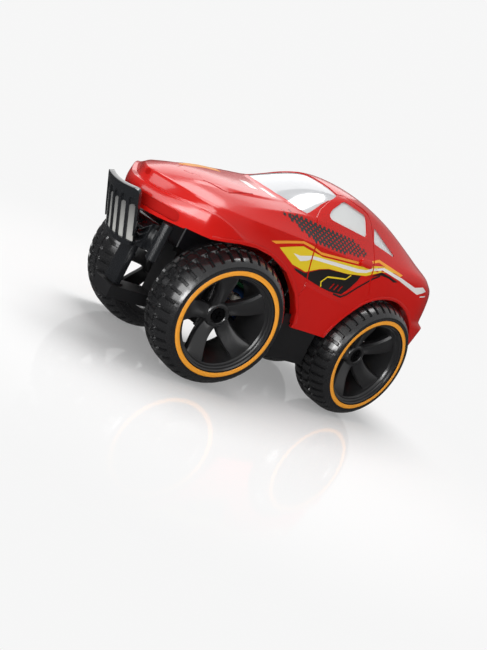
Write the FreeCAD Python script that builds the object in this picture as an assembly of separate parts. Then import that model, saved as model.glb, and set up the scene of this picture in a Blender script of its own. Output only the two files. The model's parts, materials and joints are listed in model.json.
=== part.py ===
import FreeCAD
import Part
import math
import os

# Remote control stunt car, millimetres.
# Working axes while drawing: X forward from the rear axle, Y to the left from the
# centre plane, Z up from the ground.  place() moves everything to the shared frame,
# whose origin is the middle of the footprint.

# ---- driving dimensions -------------------------------------------------------------
WHEELBASE = 76.2
WHEEL_RADIUS = 23.4            # outside of the tyre
TYRE_OUTER_Y = 29.2            # outer face of a straight tyre, from the centre plane
NOSE_X = 122.0                 # front of the push bar
TAIL_X = -34.0                 # back of the rear bumper
ROOF_Z = 76.6
BODY_HALF_WIDTH = 25.2
SKIN = 1.5                     # wall of the body shell
GLASS = 1.0                    # wall of the clear window moulding
FLOOR_Z = 14.0                 # underside of the chassis
FLOOR_T = 1.5
STEER_REST = -9.7              # front wheels as standing, degrees about +Z
KINGPIN_Y = 13.5
STEER_ARM = 9.0
RUNNING_GAP = 0.05             # radial clearance of everything that turns

RIM_RADIUS = 17.0              # seat of the tyre
RIM_BORE_FRONT = 1.25 + RUNNING_GAP
AXLE_RADIUS = 1.5
STUB_RADIUS = 1.25
SPOKES = 5
STRIPE_INNER = 17.15
STRIPE_OUTER = 18.85
LUGS = 40
SCREW_SEAT = 8.8               # floor of the screw recess, behind the stripe plane

GEAR_MODULE = 0.4
PINION_TEETH = 12
WHEEL_TEETH = 36
BACKLASH = 0.14
COMPOUND_ANGLE = 35.0          # from the rear axle up to the compound gear
GEAR_CENTRES = GEAR_MODULE * (PINION_TEETH + WHEEL_TEETH) / 2.0
AXLE_Z = WHEEL_RADIUS
COMPOUND_X = GEAR_CENTRES * math.cos(math.radians(COMPOUND_ANGLE))
COMPOUND_Z = AXLE_Z + GEAR_CENTRES * math.sin(math.radians(COMPOUND_ANGLE))
MOTOR_X = COMPOUND_X + GEAR_CENTRES
MOTOR_Z = COMPOUND_Z

SWITCH_X = -18.0
SWITCH_TRAVEL = 3.0

PLACE_X = -(NOSE_X + TAIL_X) / 2.0


# ---- small geometry helpers ---------------------------------------------------------
def v(x, y, z):
    return FreeCAD.Vector(x, y, z)


def box(x0, x1, y0, y1, z0, z1):
    return Part.makeBox(x1 - x0, y1 - y0, z1 - z0, v(x0, y0, z0))


def rod(r, start, end):
    a = v(*start)
    b = v(*end)
    return Part.makeCylinder(r, (b - a).Length, a, b - a)


def tube(r_out, r_in, start, end):
    return rod(r_out, start, end).cut(rod(r_in, start, end))


def fuse(shapes):
    whole = shapes[0].multiFuse(shapes[1:]) if len(shapes) > 1 else shapes[0]
    return whole.removeSplitter()


def cut(shape, tools):
    for tool in tools:
        shape = shape.cut(tool)
    return shape


def common(shapes):
    whole = shapes[0]
    for shape in shapes[1:]:
        whole = whole.common(shape)
    return whole


def mirrored(shape):
    return shape.mirror(v(0, 0, 0), v(0, 1, 0))


def both_sides(shape):
    return [shape, mirrored(shape)]


def rounded_box(x0, x1, y0, y1, z0, z1, r, direction):
    block = box(x0, x1, y0, y1, z0, z1)
    edges = []
    for edge in block.Edges:
        if abs(edge.tangentAt(edge.FirstParameter).dot(direction)) > 0.99:
            edges.append(edge)
    return block.makeFillet(r, edges)


def face_from(points, axis):
    """Closed flat face; the two numbers of a point are the coordinates other than axis."""
    if axis == "y":
        corners = [v(a, 0, b) for a, b in points]
    elif axis == "z":
        corners = [v(a, b, 0) for a, b in points]
    else:
        corners = [v(0, a, b) for a, b in points]
    return Part.Face(Part.makePolygon(corners + [corners[0]]))


def prism(points, axis, low, high, inset=0.0):
    """Flat outline, optionally shrunk by inset, extruded along one axis."""
    face = face_from(points, axis)
    if inset:
        face = face.makeOffset2D(-inset)
    along = {"x": v(1, 0, 0), "y": v(0, 1, 0), "z": v(0, 0, 1)}[axis]
    face.translate(along * low)
    return face.extrude(along * (high - low))


def mirror_outline(half):
    """Adds the other side to a half outline whose first number is Y."""
    return half + [(-y, z) for y, z in reversed(half) if y > 0]


def mirror_plan(half):
    """Adds the other side to a half plan whose second number is Y."""
    return half + [(x, -y) for x, y in reversed(half) if y > 0]


def turned(profile):
    """Solid turned about the Y axis from (y, radius) points."""
    corners = [v(r, y, 0) for y, r in profile]
    face = Part.Face(Part.makePolygon(corners + [corners[0]]))
    return face.revolve(v(0, 0, 0), v(0, 1, 0), 360)


def around_y(shape, degrees):
    copy = shape.copy()
    copy.rotate(v(0, 0, 0), v(0, 1, 0), degrees)
    return copy


def moved(shape, x, y, z):
    copy = shape.copy()
    copy.translate(v(x, y, z))
    return copy


def steered(shape, side):
    """Turns a front-corner part about its kingpin to the angle the car stands at."""
    copy = shape.copy()
    copy.rotate(v(WHEELBASE, side * KINGPIN_Y, 0), v(0, 0, 1), STEER_REST)
    return copy


# ---- body shell ---------------------------------------------------------------------
BODY_SIDE = [
    (-31.4, 27.0), (-31.4, 30.4), (TAIL_X, 42.0), (-29.2, 43.4), (-26.4, 49.0),
    (-20.4, 57.6), (-14.0, 61.0), (-7.0, 61.4), (10.0, 62.4), (62.0, 64.6),
    (78.0, 62.8), (97.0, 60.4), (112.4, 56.6), (113.4, 54.4), (115.2, 53.4),
    (116.3, 50.0), (115.4, 44.6), (112.0, 27.0)]
BODY_PLAN = mirror_plan([
    (TAIL_X, 0), (-33.4, 12.0), (-32.0, 20.0), (-29.0, 24.0), (-20.0, BODY_HALF_WIDTH),
    (90.0, BODY_HALF_WIDTH), (99.5, 24.0), (106.5, 20.8), (111.6, 14.0),
    (115.2, 7.0), (116.3, 0)])
BODY_FRONT = mirror_outline([
    (0, 80.0), (15.0, 80.0), (18.0, 64.6), (20.2, 61.4), (BODY_HALF_WIDTH, 57.2),
    (24.4, 51.0), (BODY_HALF_WIDTH, 47.0), (BODY_HALF_WIDTH, 42.0), (23.8, 27.0), (0, 27.0)])
CABIN_SIDE = [
    (66.4, 58.0), (66.4, 64.2), (46.5, 74.9), (38.0, ROOF_Z), (30.0, 76.2), (19.7, 74.8),
    (5.9, 71.4), (-4.0, 67.4), (-19.0, 60.4), (-19.0, 58.0)]
CABIN_FRONT = mirror_outline([
    (0, ROOF_Z), (9.0, 76.2), (13.4, 74.6), (17.6, 66.4), (20.4, 60.0), (20.4, 58.0),
    (0, 58.0)])
CABIN_PLAN = mirror_plan([
    (66.4, 0), (65.6, 7.0), (63.4, 13.0), (59.4, 18.4), (50.0, 20.4), (-6.0, 20.4),
    (-15.0, 18.0), (-19.0, 12.0), (-19.0, 0)])
FRONT_ARCH = [
    (43.0, 20.0), (43.6, 28.3), (45.9, 32.8), (48.6, 36.2), (52.2, 39.4), (56.8, 42.8),
    (61.7, 45.6), (66.8, 47.5), (72.0, 48.8), (80.1, 49.6), (87.8, 48.9), (97.9, 46.5),
    (104.4, 45.8), (118.0, 44.4), (118.0, 20.0)]
REAR_ARCH_RADIUS = 25.2
WINDSCREEN = mirror_plan([
    (64.4, 0), (63.6, 6.4), (61.4, 12.2), (57.6, 16.2), (43.4, 11.0), (42.0, 0)])
SIDE_WINDOW = [(47.2, 67.6), (40.0, 72.8), (27.6, 72.2), (25.8, 66.4)]
QUARTER_WINDOW = [(21.8, 66.0), (21.2, 71.0), (5.6, 64.2)]
BACK_WINDOW = mirror_plan([
    (13.0, 0), (13.0, 9.6), (-7.0, 13.4), (-9.6, 0)])
BODY_BOSSES = [(-23.0, 6.4), (-23.0, -6.4), (104.0, 0.0)]
BOSS_FOOT_Z = FLOOR_Z + 4.6


def lower_body(inset):
    return common([
        prism(BODY_SIDE, "y", -30, 30, inset),
        prism(BODY_PLAN, "z", 0, 90, inset),
        prism(BODY_FRONT, "x", -40, 130, inset)])


def cabin(inset):
    return common([
        prism(CABIN_SIDE, "y", -30, 30, inset),
        prism(CABIN_FRONT, "x", -40, 130, inset),
        prism(CABIN_PLAN, "z", 0, 90, inset)])


def window_cutters(inset):
    above = prism(WINDSCREEN, "z", 61.0, 90, inset)
    behind = prism(BACK_WINDOW, "z", 61.0, 90, inset)
    near = prism(SIDE_WINDOW, "y", 10, 30, inset)
    quarter = prism(QUARTER_WINDOW, "y", 10, 30, inset)
    return [above, behind] + both_sides(near) + both_sides(quarter)


def boss(x, y, top):
    post = tube(2.4, 0.8, (x, y, BOSS_FOOT_Z), (x, y, top))
    rib = box(x - 0.5, x + 0.5, y - 4.4, y + 4.4, top - 6.0, top)
    return fuse([post, rib.cut(rod(2.0, (x, y, 0), (x, y, 90)))])


def body_shell():
    outside = fuse([lower_body(0), cabin(0)])
    hood_bulge = common([
        prism([(66.0, 60.0), (66.0, 65.2), (78.0, 63.6), (97.0, 61.2), (108.0, 58.2),
               (108.0, 55.0)], "y", -12, 12),
        prism(mirror_plan([(108.0, 0), (108.0, 7.0), (104.0, 10.6), (66.0, 12.0), (66.0, 0)]),
              "z", 50, 80)])
    outside = fuse([outside, hood_bulge])
    inside = fuse([lower_body(SKIN), cabin(SKIN)])
    well = common([
        prism(BODY_PLAN, "z", 20, 27.0 + SKIN + 0.5, SKIN),
        prism(BODY_FRONT, "x", -40, 130, SKIN).fuse(box(-40, 130, -22.2, 22.2, 20, 29))])
    shell = cut(outside, [inside, well])
    arches = both_sides(prism(FRONT_ARCH, "y", 8.0, 40.0))
    arches += both_sides(rod(REAR_ARCH_RADIUS, (0, 8.0, AXLE_Z), (0, 40.0, AXLE_Z)))
    front_opening = box(70.0, 130.0, -9.0, 9.0, 20.0, 44.4)
    tail_opening = box(-30.0, 60.0, -22.0, 22.0, 20.0, 30.4)
    shell = cut(shell, arches + [front_opening, tail_opening])
    shell = cut(shell, window_cutters(0.0))
    shell = cut(shell, body_grooves())
    shell = fuse([shell] + door_handles() + [boss_in_shell(x, y) for x, y in BODY_BOSSES])
    return shell


def boss_in_shell(x, y):
    """Screw post, trimmed where it meets the inside of the shell."""
    post = boss(x, y, 66.0)
    return post.common(lower_body(SKIN * 0.5))


def body_grooves():
    """Shallow panel lines: the door outline, the chin recess and the hood vents."""
    depth = 0.4
    outline = [(49.1, 44.8), (56.0, 64.2), (21.4, 61.0), (15.5, 49.1), (24.0, 40.4), (47.0, 41.4)]
    door = prism(outline, "y", BODY_HALF_WIDTH - 6.0, BODY_HALF_WIDTH + 1)
    door = door.cut(prism(outline, "y", 10, 40, 0.4))
    band = lower_body(0).cut(lower_body(depth))
    door = door.common(band)
    chin = box(108.0, 120.0, -16.5, 16.5, 45.6, 49.4).common(band)
    vents = []
    for x0, x1, y0 in ((96.0, 104.0, 5.0), (78.0, 90.0, 8.2)):
        vents += both_sides(box(x0, x1, y0, y0 + 0.5, 61.0, 70.0).common(
            box(60, 110, -12, 12, 59, 70)))
    return both_sides(door) + [chin]


def door_handles():
    handle = rounded_box(21.4, 27.8, 23.6, BODY_HALF_WIDTH + 0.2, 55.2, 57.2, 0.6, v(0, 1, 0))
    return both_sides(handle)


def window_insert():
    """Clear moulding: a thin hood inside the cabin with panes that fill the windows."""
    lining = cabin(SKIN).cut(cabin(SKIN + GLASS))
    lining = lining.common(box(-40, 80, -30, 30, 62.6, 90))
    panes = []
    band = cabin(0.5).cut(cabin(SKIN + 0.2))
    for tool in window_cutters(0.15):
        panes.append(band.common(tool))
    return fuse([lining] + panes)


# ---- chassis ------------------------------------------------------------------------
CHASSIS_PLAN = mirror_plan([
    (-29.0, 0), (-29.0, 9.4), (25.4, 9.4), (26.4, 21.0), (48.6, 21.0), (50.6, 4.6),
    (109.0, 4.6), (109.0, 0)])
BATTERY_BAY = (29.0, 47.4, -17.4, 17.4)
DOOR_SCREW = (30.4, 13.0)


def chassis_tray():
    floor = prism(CHASSIS_PLAN, "z", FLOOR_Z, FLOOR_Z + FLOOR_T)
    lip = prism(CHASSIS_PLAN, "z", FLOOR_Z, FLOOR_Z + 6.0)
    lip = lip.cut(prism(CHASSIS_PLAN, "z", FLOOR_Z, FLOOR_Z + 7.0, 1.0))
    lip = lip.cut(box(-12.0, 25.0, -20, 20, FLOOR_Z + FLOOR_T, 60))
    lip = lip.cut(box(50.0, 112.0, -20, 20, FLOOR_Z + 4.0, 60))
    spine = box(50.4, 109.0, -4.6, 4.6, FLOOR_Z, FLOOR_Z + 4.0)
    side_rails = both_sides(box(27.4, 47.6, 20.0, 21.4, FLOOR_Z + 3.0, 31.0))
    board_posts = []
    for x in (29.5, 46.5):
        board_posts += both_sides(rod(1.0, (x, 18.8, FLOOR_Z + 1), (x, 18.8, 28.6)))
    cradle = box(MOTOR_X - 4.0, MOTOR_X + 4.0, -8.0, 4.0, FLOOR_Z + 1.0, MOTOR_Z - 5.0)
    screw_x, screw_y = DOOR_SCREW
    door_tab = box(27.6, 32.2, screw_y - 2.4, screw_y + 2.4, FLOOR_Z + FLOOR_T, FLOOR_Z + 4.5)
    door_tab = door_tab.cut(rod(0.8, (screw_x, screw_y, 10), (screw_x, screw_y, 30)))
    foot_pads = [rod(2.4, (x, y, FLOOR_Z), (x, y, BOSS_FOOT_Z)) for x, y in BODY_BOSSES]
    tray = fuse([floor, lip, spine, cradle] + side_rails + board_posts + foot_pads)
    x0, x1, y0, y1 = BATTERY_BAY
    hatch = box(x0, x1, y0, y1, FLOOR_Z - 1, FLOOR_Z + FLOOR_T)
    slot = box(SWITCH_X - 1.1, SWITCH_X + 1.1, -3.4, 3.4, FLOOR_Z - 1, FLOOR_Z + FLOOR_T + 1)
    screw_holes = []
    for x, y in BODY_BOSSES:
        screw_holes.append(rod(0.95, (x, y, FLOOR_Z - 1), (x, y, BOSS_FOOT_Z + 1)))
        screw_holes.append(rod(1.8, (x, y, FLOOR_Z - 1), (x, y, FLOOR_Z + 1.6)))
    port = box(-30, -27.5, -2.2, 2.2, FLOOR_Z + 2.2, FLOOR_Z + 6.0)
    beam_seat = box(WHEELBASE - 4.0, WHEELBASE + 4.0, -5, 5, FLOOR_Z + 2.5, 60)
    tray = cut(tray, [hatch, slot, port, beam_seat] + screw_holes)
    return fuse([tray, door_tab])


def front_beam():
    """Cross piece that carries both kingpins, seated in the spine."""
    post = box(WHEELBASE - 3.9, WHEELBASE + 3.9, -4.5, 4.5, FLOOR_Z + 2.5, 31.0)
    arms = []
    for z0 in (15.2, 29.0):
        bar = box(WHEELBASE - 2.6, WHEELBASE + 2.6, -KINGPIN_Y, KINGPIN_Y, z0 + 1.3, z0 + 3.6)
        if z0 > 20:
            bar = box(WHEELBASE - 2.6, WHEELBASE + 2.6, -KINGPIN_Y, KINGPIN_Y, z0, z0 + 2.3)
        arms.append(bar)
        low = bar.BoundBox.ZMin
        for side in (1, -1):
            arms.append(rod(2.6, (WHEELBASE, side * KINGPIN_Y, low),
                            (WHEELBASE, side * KINGPIN_Y, low + 2.3)))
    beam = fuse([post] + arms)
    holes = [rod(1.0, (WHEELBASE, s * KINGPIN_Y, 0), (WHEELBASE, s * KINGPIN_Y, 60))
             for s in (1, -1)]
    return cut(beam, holes)


def kingpin(side):
    y = side * KINGPIN_Y
    pin = rod(1.0, (WHEELBASE, y, 15.6), (WHEELBASE, y, 31.3))
    head = rod(1.7, (WHEELBASE, y, 31.3), (WHEELBASE, y, 32.2))
    return fuse([pin, head])


def servo_bracket():
    x0 = WHEELBASE + 4.6
    post = box(x0 + 4.0, x0 + 9.0, -3.8, 3.8, FLOOR_Z + 4.0, 35.0)
    shelf = box(x0, x0 + 12.0, -4.4, 4.4, 35.0, 36.4)
    return fuse([post, shelf])


def front_bulkhead():
    """Louvred nose of the chassis that carries the push bar."""
    base = box(104.6, 109.0, -8.0, 8.0, FLOOR_Z + 4.0, 40.0)
    base = base.cut(rod(2.9, (104.0, 0, 0), (104.0, 0, 60)))
    louvres = []
    for z0 in (22.0, 27.0, 32.0):
        louvres.append(prism([(109.0, z0), (111.4, z0 - 2.0), (111.4, z0 - 0.8), (109.0, z0 + 1.6)],
                             "y", -7.0, 7.0))
    posts = both_sides(rod(1.5, (106.0, 12.2, 26.0), (106.0, 12.2, 43.4)))
    webs = both_sides(box(104.8, 107.2, 7.0, 12.2, 27.0, 39.0))
    bar_seat = box(108.0, BAR_SEAT_X, -4.0, 4.0, 33.6, 38.6)
    return fuse([base, bar_seat] + louvres + posts + webs)


# ---- push bar -----------------------------------------------------------------------
BAR_TOP_Z = 50.8
BAR_BOTTOM_Z = 33.0
BAR_HALF_WIDTH = 9.0
BAR_RAKE = 25.0                # the top leans forward, degrees
BAR_BULGE = 2.2                # how far the middle stands ahead of the edges
BAR_SLOTS = 5
BAR_PITCH = 3.45
BAR_SEAT_X = 111.4             # where its stem meets the chassis nose


def push_bar():
    chord = BAR_HALF_WIDTH * 2
    radius = (BAR_BULGE ** 2 + (chord / 2) ** 2) / (2 * BAR_BULGE)
    rise = (BAR_TOP_Z - BAR_BOTTOM_Z) / math.cos(math.radians(BAR_RAKE))
    plate = tube(radius, radius - 1.6, (-radius, 0, -rise), (-radius, 0, 0))
    outline = mirror_outline([(0, 0), (7.4, -0.3), (8.8, -1.6), (9.0, -4.0), (8.4, -rise + 1.6),
                              (7.0, -rise), (0, -rise)])
    plate = plate.common(prism(outline, "x", -6, 2))
    recesses = []
    for k in range(-(BAR_SLOTS // 2), BAR_SLOTS // 2 + 1):
        y = k * BAR_PITCH
        x = math.sqrt(radius ** 2 - y ** 2) - radius - 0.7
        slot = box(x, x + 3, y - 1.05, y + 1.05, -rise + 1.6, -5.4)
        top = rod(1.05, (x, y, -5.4), (x + 3, y, -5.4))
        dot = rod(0.6, (x - 0.4, y, -5.2), (x + 3, y, -5.2))
        recesses += [slot, top, dot]
    plate = cut(plate, recesses)
    plate.rotate(v(0, 0, 0), v(0, 1, 0), BAR_RAKE)
    plate.translate(v(NOSE_X - plate.BoundBox.XMax, 0, BAR_TOP_Z - plate.BoundBox.ZMax))
    stem = prism([(BAR_SEAT_X, 33.6), (BAR_SEAT_X, 38.6), (117.2, 38.6), (114.8, 33.6)],
                 "y", -4.0, 4.0)
    return fuse([plate, stem])


# ---- wheels -------------------------------------------------------------------------
# A wheel is drawn on the Y axis with its outer face toward +Y and y = 0 at the stripe.
TYRE_PROFILE = [
    (0.4, RIM_RADIUS), (0.4, 19.1), (-1.1, 21.6), (-3.6, 23.0), (-6.4, WHEEL_RADIUS),
    (-12.6, WHEEL_RADIUS), (-15.6, 23.0), (-17.4, 21.6), (-18.0, 19.0), (-18.0, RIM_RADIUS)]
WHEEL_OFFSET_Y = TYRE_OUTER_Y - 0.4


def tyre():
    body = turned(TYRE_PROFILE)
    groove = turned([(0.5, STRIPE_INNER), (0.5, STRIPE_OUTER), (0.0, STRIPE_OUTER),
                     (0.0, STRIPE_INNER)])
    body = body.cut(groove)
    notches = []
    step = 360.0 / LUGS
    for k in range(LUGS):
        outer = box(WHEEL_RADIUS - 1.4, WHEEL_RADIUS + 1.0, -6.6, 1.0, -0.6, 0.6)
        inner = box(WHEEL_RADIUS - 1.4, WHEEL_RADIUS + 1.0, -19.0, -12.4, -0.6, 0.6)
        notches.append(around_y(outer, k * step))
        notches.append(around_y(inner, (k + 0.5) * step))
    return body.cut(Part.makeCompound(notches))


def stripe():
    return turned([(0.4, STRIPE_INNER), (0.4, STRIPE_OUTER), (0.0, STRIPE_OUTER),
                   (0.0, STRIPE_INNER)])


def spoke():
    """Broad blade from the hub out to the barrel, dished toward the middle."""
    plan = [(3.2, -2.4), (9.0, -2.2), (16.2, -4.4), (16.2, 4.0), (9.0, 2.6), (3.2, 2.4)]
    blade = prism(plan, "y", -11.0, 0.0)
    section = prism([(2.8, -7.8), (10.0, -5.8), (16.4, -2.6), (16.4, -5.8), (10.0, -8.6),
                     (2.8, -10.4)], "z", -8, 8)
    return blade.common(section)


def rim(bore, hub_length):
    barrel = turned([(0.2, 16.0), (0.2, RIM_RADIUS), (-18.0, RIM_RADIUS), (-18.0, 15.4),
                     (-1.4, 15.4)])
    step = turned([(-2.4, 14.8), (-2.4, 15.9), (-5.6, 15.9), (-5.6, 14.8)])
    hub = turned([(-6.6, 1.0), (-6.6, 3.7), (-7.2, 4.6), (-10.4, 4.6), (-11.0, 3.6),
                  (-hub_length, 3.4), (-hub_length, 1.0)])
    blades = [around_y(spoke(), k * 360.0 / SPOKES) for k in range(SPOKES)]
    wheel = fuse([barrel, step, hub] + blades)
    wheel = wheel.cut(rod(bore, (0, -20, 0), (0, 2, 0)))
    return wheel.cut(rod(2.7, (0, -SCREW_SEAT, 0), (0, 2, 0)))


def put_wheel(shape, name_side, front):
    """Moves a wheel part from the drawing axis to its corner of the car."""
    side = 1 if name_side == "left" else -1
    part = moved(shape, 0, WHEEL_OFFSET_Y, 0)
    if side < 0:
        part = mirrored(part)
    if not front:
        return moved(part, 0, 0, AXLE_Z)
    return steered(moved(part, WHEELBASE, 0, AXLE_Z), side)


# ---- steering -----------------------------------------------------------------------
ARM_Z = 25.4
ROD_Z = 28.0


def knuckle(side):
    y = side * KINGPIN_Y
    block = rod(2.6, (WHEELBASE, y, 18.95), (WHEELBASE, y, 28.85))
    boss_part = rod(2.6, (WHEELBASE, y, AXLE_Z), (WHEELBASE, y + side * 3.6, AXLE_Z))
    arm = box(WHEELBASE - STEER_ARM, WHEELBASE, y - 1.3, y + 1.3, ARM_Z, ARM_Z + 2.0)
    eye = rod(1.9, (WHEELBASE - STEER_ARM, y, ARM_Z), (WHEELBASE - STEER_ARM, y, ARM_Z + 2.0))
    pin = rod(0.9, (WHEELBASE - STEER_ARM, y, ARM_Z), (WHEELBASE - STEER_ARM, y, ROD_Z + 2.6))
    part = fuse([block, boss_part, arm, eye, pin])
    part = part.cut(rod(1.0 + RUNNING_GAP, (WHEELBASE, y, 0), (WHEELBASE, y, 60)))
    thread = rod(STUB_RADIUS, (WHEELBASE, y + side * 1.6, AXLE_Z), (WHEELBASE, y + side * 9, AXLE_Z))
    return steered(part.cut(thread), side)


def stub_axle(side):
    """Shoulder screw that the front wheel turns on, driven into the knuckle."""
    inner = side * (KINGPIN_Y + 1.6)
    head_y = side * (WHEEL_OFFSET_Y - SCREW_SEAT + 0.3)
    shaft = rod(STUB_RADIUS, (WHEELBASE, inner, AXLE_Z), (WHEELBASE, head_y, AXLE_Z))
    head = rod(2.3, (WHEELBASE, head_y, AXLE_Z), (WHEELBASE, head_y + side * 1.5, AXLE_Z))
    screw = fuse([shaft, head])
    return steered(screw.cut(screw_cross(WHEELBASE, head_y + side * 0.7, AXLE_Z, side)), side)


def screw_cross(x, y, z, side):
    """Cross recess, open toward the side given."""
    y0, y1 = sorted((y, y + side * 2.0))
    return fuse([box(x - 1.4, x + 1.4, y0, y1, z - 0.3, z + 0.3),
                 box(x - 0.3, x + 0.3, y0, y1, z - 1.4, z + 1.4)])


def arm_tip(side):
    """Centre of the steering-arm pin with the wheels as standing."""
    a = math.radians(STEER_REST)
    return (WHEELBASE - STEER_ARM * math.cos(a), side * KINGPIN_Y - STEER_ARM * math.sin(a))


def tie_rod():
    x, left = arm_tip(1)
    right = arm_tip(-1)[1]
    middle = (left + right) / 2.0
    bar = box(x - 1.2, x + 1.2, right, left, ROD_Z, ROD_Z + 2.0)
    eyes = [rod(1.9, (x, y, ROD_Z), (x, y, ROD_Z + 2.0)) for y in (left, right, middle)]
    holes = [rod(0.9 + RUNNING_GAP, (x, y, 0), (x, y, 60)) for y in (left, right, middle)]
    return cut(fuse([bar] + eyes), holes)


def servo_horn():
    hub = rod(2.2, (WHEELBASE, 0, 31.9), (WHEELBASE, 0, 34.2))
    arm = box(WHEELBASE - STEER_ARM, WHEELBASE, -1.2, 1.2, 31.9, 33.5)
    tip = rod(1.7, (WHEELBASE - STEER_ARM, 0, 31.9), (WHEELBASE - STEER_ARM, 0, 33.5))
    pin = rod(0.9, (WHEELBASE - STEER_ARM, 0, ROD_Z + 0.1), (WHEELBASE - STEER_ARM, 0, 33.5))
    spindle = rod(0.9, (WHEELBASE, 0, 33.0), (WHEELBASE, 0, 38.4))
    horn = fuse([hub, arm, tip, pin, spindle])
    horn.rotate(v(WHEELBASE, 0, 0), v(0, 0, 1), STEER_REST)
    return horn


def steering_servo():
    case = rounded_box(WHEELBASE - 4.6, WHEELBASE + 15.4, -4.2, 4.2, 36.4, 51.0, 0.8, v(0, 0, 1))
    nose = rod(3.0, (WHEELBASE, 0, 35.0), (WHEELBASE, 0, 36.4))
    ears = box(WHEELBASE - 6.6, WHEELBASE + 17.4, -4.2, 4.2, 46.0, 47.2)
    servo = fuse([case, nose, ears])
    return servo.cut(rod(0.9 + RUNNING_GAP, (WHEELBASE, 0, 30), (WHEELBASE, 0, 38.6)))


# ---- drive --------------------------------------------------------------------------
def tooth_angle(radius, teeth):
    """Half width of a tooth at a radius, in radians, from the involute of a circle."""
    pitch = GEAR_MODULE * teeth / 2.0
    pressure = math.radians(20.0)
    base = pitch * math.cos(pressure)
    half = (math.pi * GEAR_MODULE / 2.0 - BACKLASH / 2.0) / (2.0 * pitch)
    half += math.tan(pressure) - pressure
    if radius <= base:
        return half - 0.25 * (base - radius) / radius
    alpha = math.acos(base / radius)
    return half - (math.tan(alpha) - alpha)


def gear(teeth, x, z, y0, y1, phase):
    """Spur gear on the Y axis with one tooth pointing at phase degrees."""
    pitch = GEAR_MODULE * teeth / 2.0
    tip = pitch + 0.8 * GEAR_MODULE
    root = pitch - 1.1 * GEAR_MODULE
    steps = [root + (tip - root) * k / 5.0 for k in range(6)]
    corners = []
    for n in range(teeth):
        centre = math.radians(phase) + 2 * math.pi * n / teeth
        for r in steps:
            a = centre - tooth_angle(r, teeth)
            corners.append((x + r * math.cos(a), z + r * math.sin(a)))
        for r in reversed(steps):
            a = centre + tooth_angle(r, teeth)
            corners.append((x + r * math.cos(a), z + r * math.sin(a)))
    return prism(corners, "y", y0, y1)


def axle_gear():
    wheel = gear(WHEEL_TEETH, 0, AXLE_Z, 3.0, 5.8, COMPOUND_ANGLE)
    collar = rod(3.0, (0, 1.6, AXLE_Z), (0, 3.0, AXLE_Z))
    return fuse([wheel, collar]).cut(rod(AXLE_RADIUS, (0, -5, AXLE_Z), (0, 9, AXLE_Z)))


def compound_gear():
    gap = COMPOUND_ANGLE + 180.0 + 180.0 / PINION_TEETH
    small = gear(PINION_TEETH, COMPOUND_X, COMPOUND_Z, 3.0, 6.5, gap)
    large = gear(WHEEL_TEETH, COMPOUND_X, COMPOUND_Z, 6.5, 8.3, 0.0)
    bore = rod(1.0 + RUNNING_GAP, (COMPOUND_X, 0, COMPOUND_Z), (COMPOUND_X, 10, COMPOUND_Z))
    return fuse([small, large]).cut(bore)


def compound_shaft():
    return rod(1.0, (COMPOUND_X, -9.2, COMPOUND_Z), (COMPOUND_X, 9.2, COMPOUND_Z))


def motor_pinion():
    gap = 180.0 + 180.0 / PINION_TEETH
    pinion = gear(PINION_TEETH, MOTOR_X, MOTOR_Z, 6.4, 8.5, gap)
    return pinion.cut(rod(0.75, (MOTOR_X, 0, MOTOR_Z), (MOTOR_X, 10, MOTOR_Z)))


def motor_shaft():
    return rod(0.75, (MOTOR_X, -1.0, MOTOR_Z), (MOTOR_X, 8.6, MOTOR_Z))


def drive_motor():
    can = rod(6.0, (MOTOR_X, -8.6, MOTOR_Z), (MOTOR_X, 5.4, MOTOR_Z))
    flats = box(MOTOR_X - 8, MOTOR_X + 8, -12, 12, MOTOR_Z - 5.0, MOTOR_Z + 5.0)
    nose = rod(2.0, (MOTOR_X, 5.4, MOTOR_Z), (MOTOR_X, 6.1, MOTOR_Z))
    tail = rod(3.4, (MOTOR_X, -9.0, MOTOR_Z), (MOTOR_X, -8.6, MOTOR_Z))
    motor = fuse([can.common(flats), nose, tail])
    return motor.cut(rod(0.75 + RUNNING_GAP, (MOTOR_X, -1.2, MOTOR_Z), (MOTOR_X, 9, MOTOR_Z)))


GEARBOX_SIDE = [(-9.6, 15.5), (-9.6, 28.6), (-5.0, 33.4), (2.0, 38.2), (22.0, 38.2), (25.0, 35.4),
                (25.0, 15.5)]


def gearbox_cover():
    """Housing around gears and motor, open below onto the chassis floor."""
    outer = prism(GEARBOX_SIDE, "y", -10.0, 10.0)
    inner = prism(GEARBOX_SIDE, "y", -9.2, 9.2, 0.8)
    inner = fuse([inner, box(-8.8, 24.2, -9.2, 9.2, 15.0, 17.0)])
    cover = outer.cut(inner)
    cover = cover.cut(rod(2.5, (0, -12, AXLE_Z), (0, 12, AXLE_Z)))
    return cover


def axle_bush(side):
    y0 = side * 9.2
    y1 = side * 10.0
    sleeve = rod(2.5, (0, y0, AXLE_Z), (0, y1, AXLE_Z))
    flange = rod(3.2, (0, y1, AXLE_Z), (0, y1 + side * 0.5, AXLE_Z))
    bore = rod(AXLE_RADIUS + RUNNING_GAP, (0, -12, AXLE_Z), (0, 12, AXLE_Z))
    return fuse([sleeve, flange]).cut(bore)


def rear_axle():
    reach = WHEEL_OFFSET_Y - SCREW_SEAT
    return rod(AXLE_RADIUS, (0, -reach, AXLE_Z), (0, reach, AXLE_Z))


def wheel_screw(side):
    y = side * (WHEEL_OFFSET_Y - SCREW_SEAT)
    head = rod(2.3, (0, y, AXLE_Z), (0, y + side * 1.5, AXLE_Z))
    return head.cut(screw_cross(0, y + side * 0.8, AXLE_Z, side))


# ---- electrics ----------------------------------------------------------------------
def battery_pack():
    """Three short cells side by side in one wrap, lying across the car."""
    return rounded_box(32.6, 44.8, -16.6, 16.6, FLOOR_Z + FLOOR_T, 26.9, 3.0, v(0, 1, 0))


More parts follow.
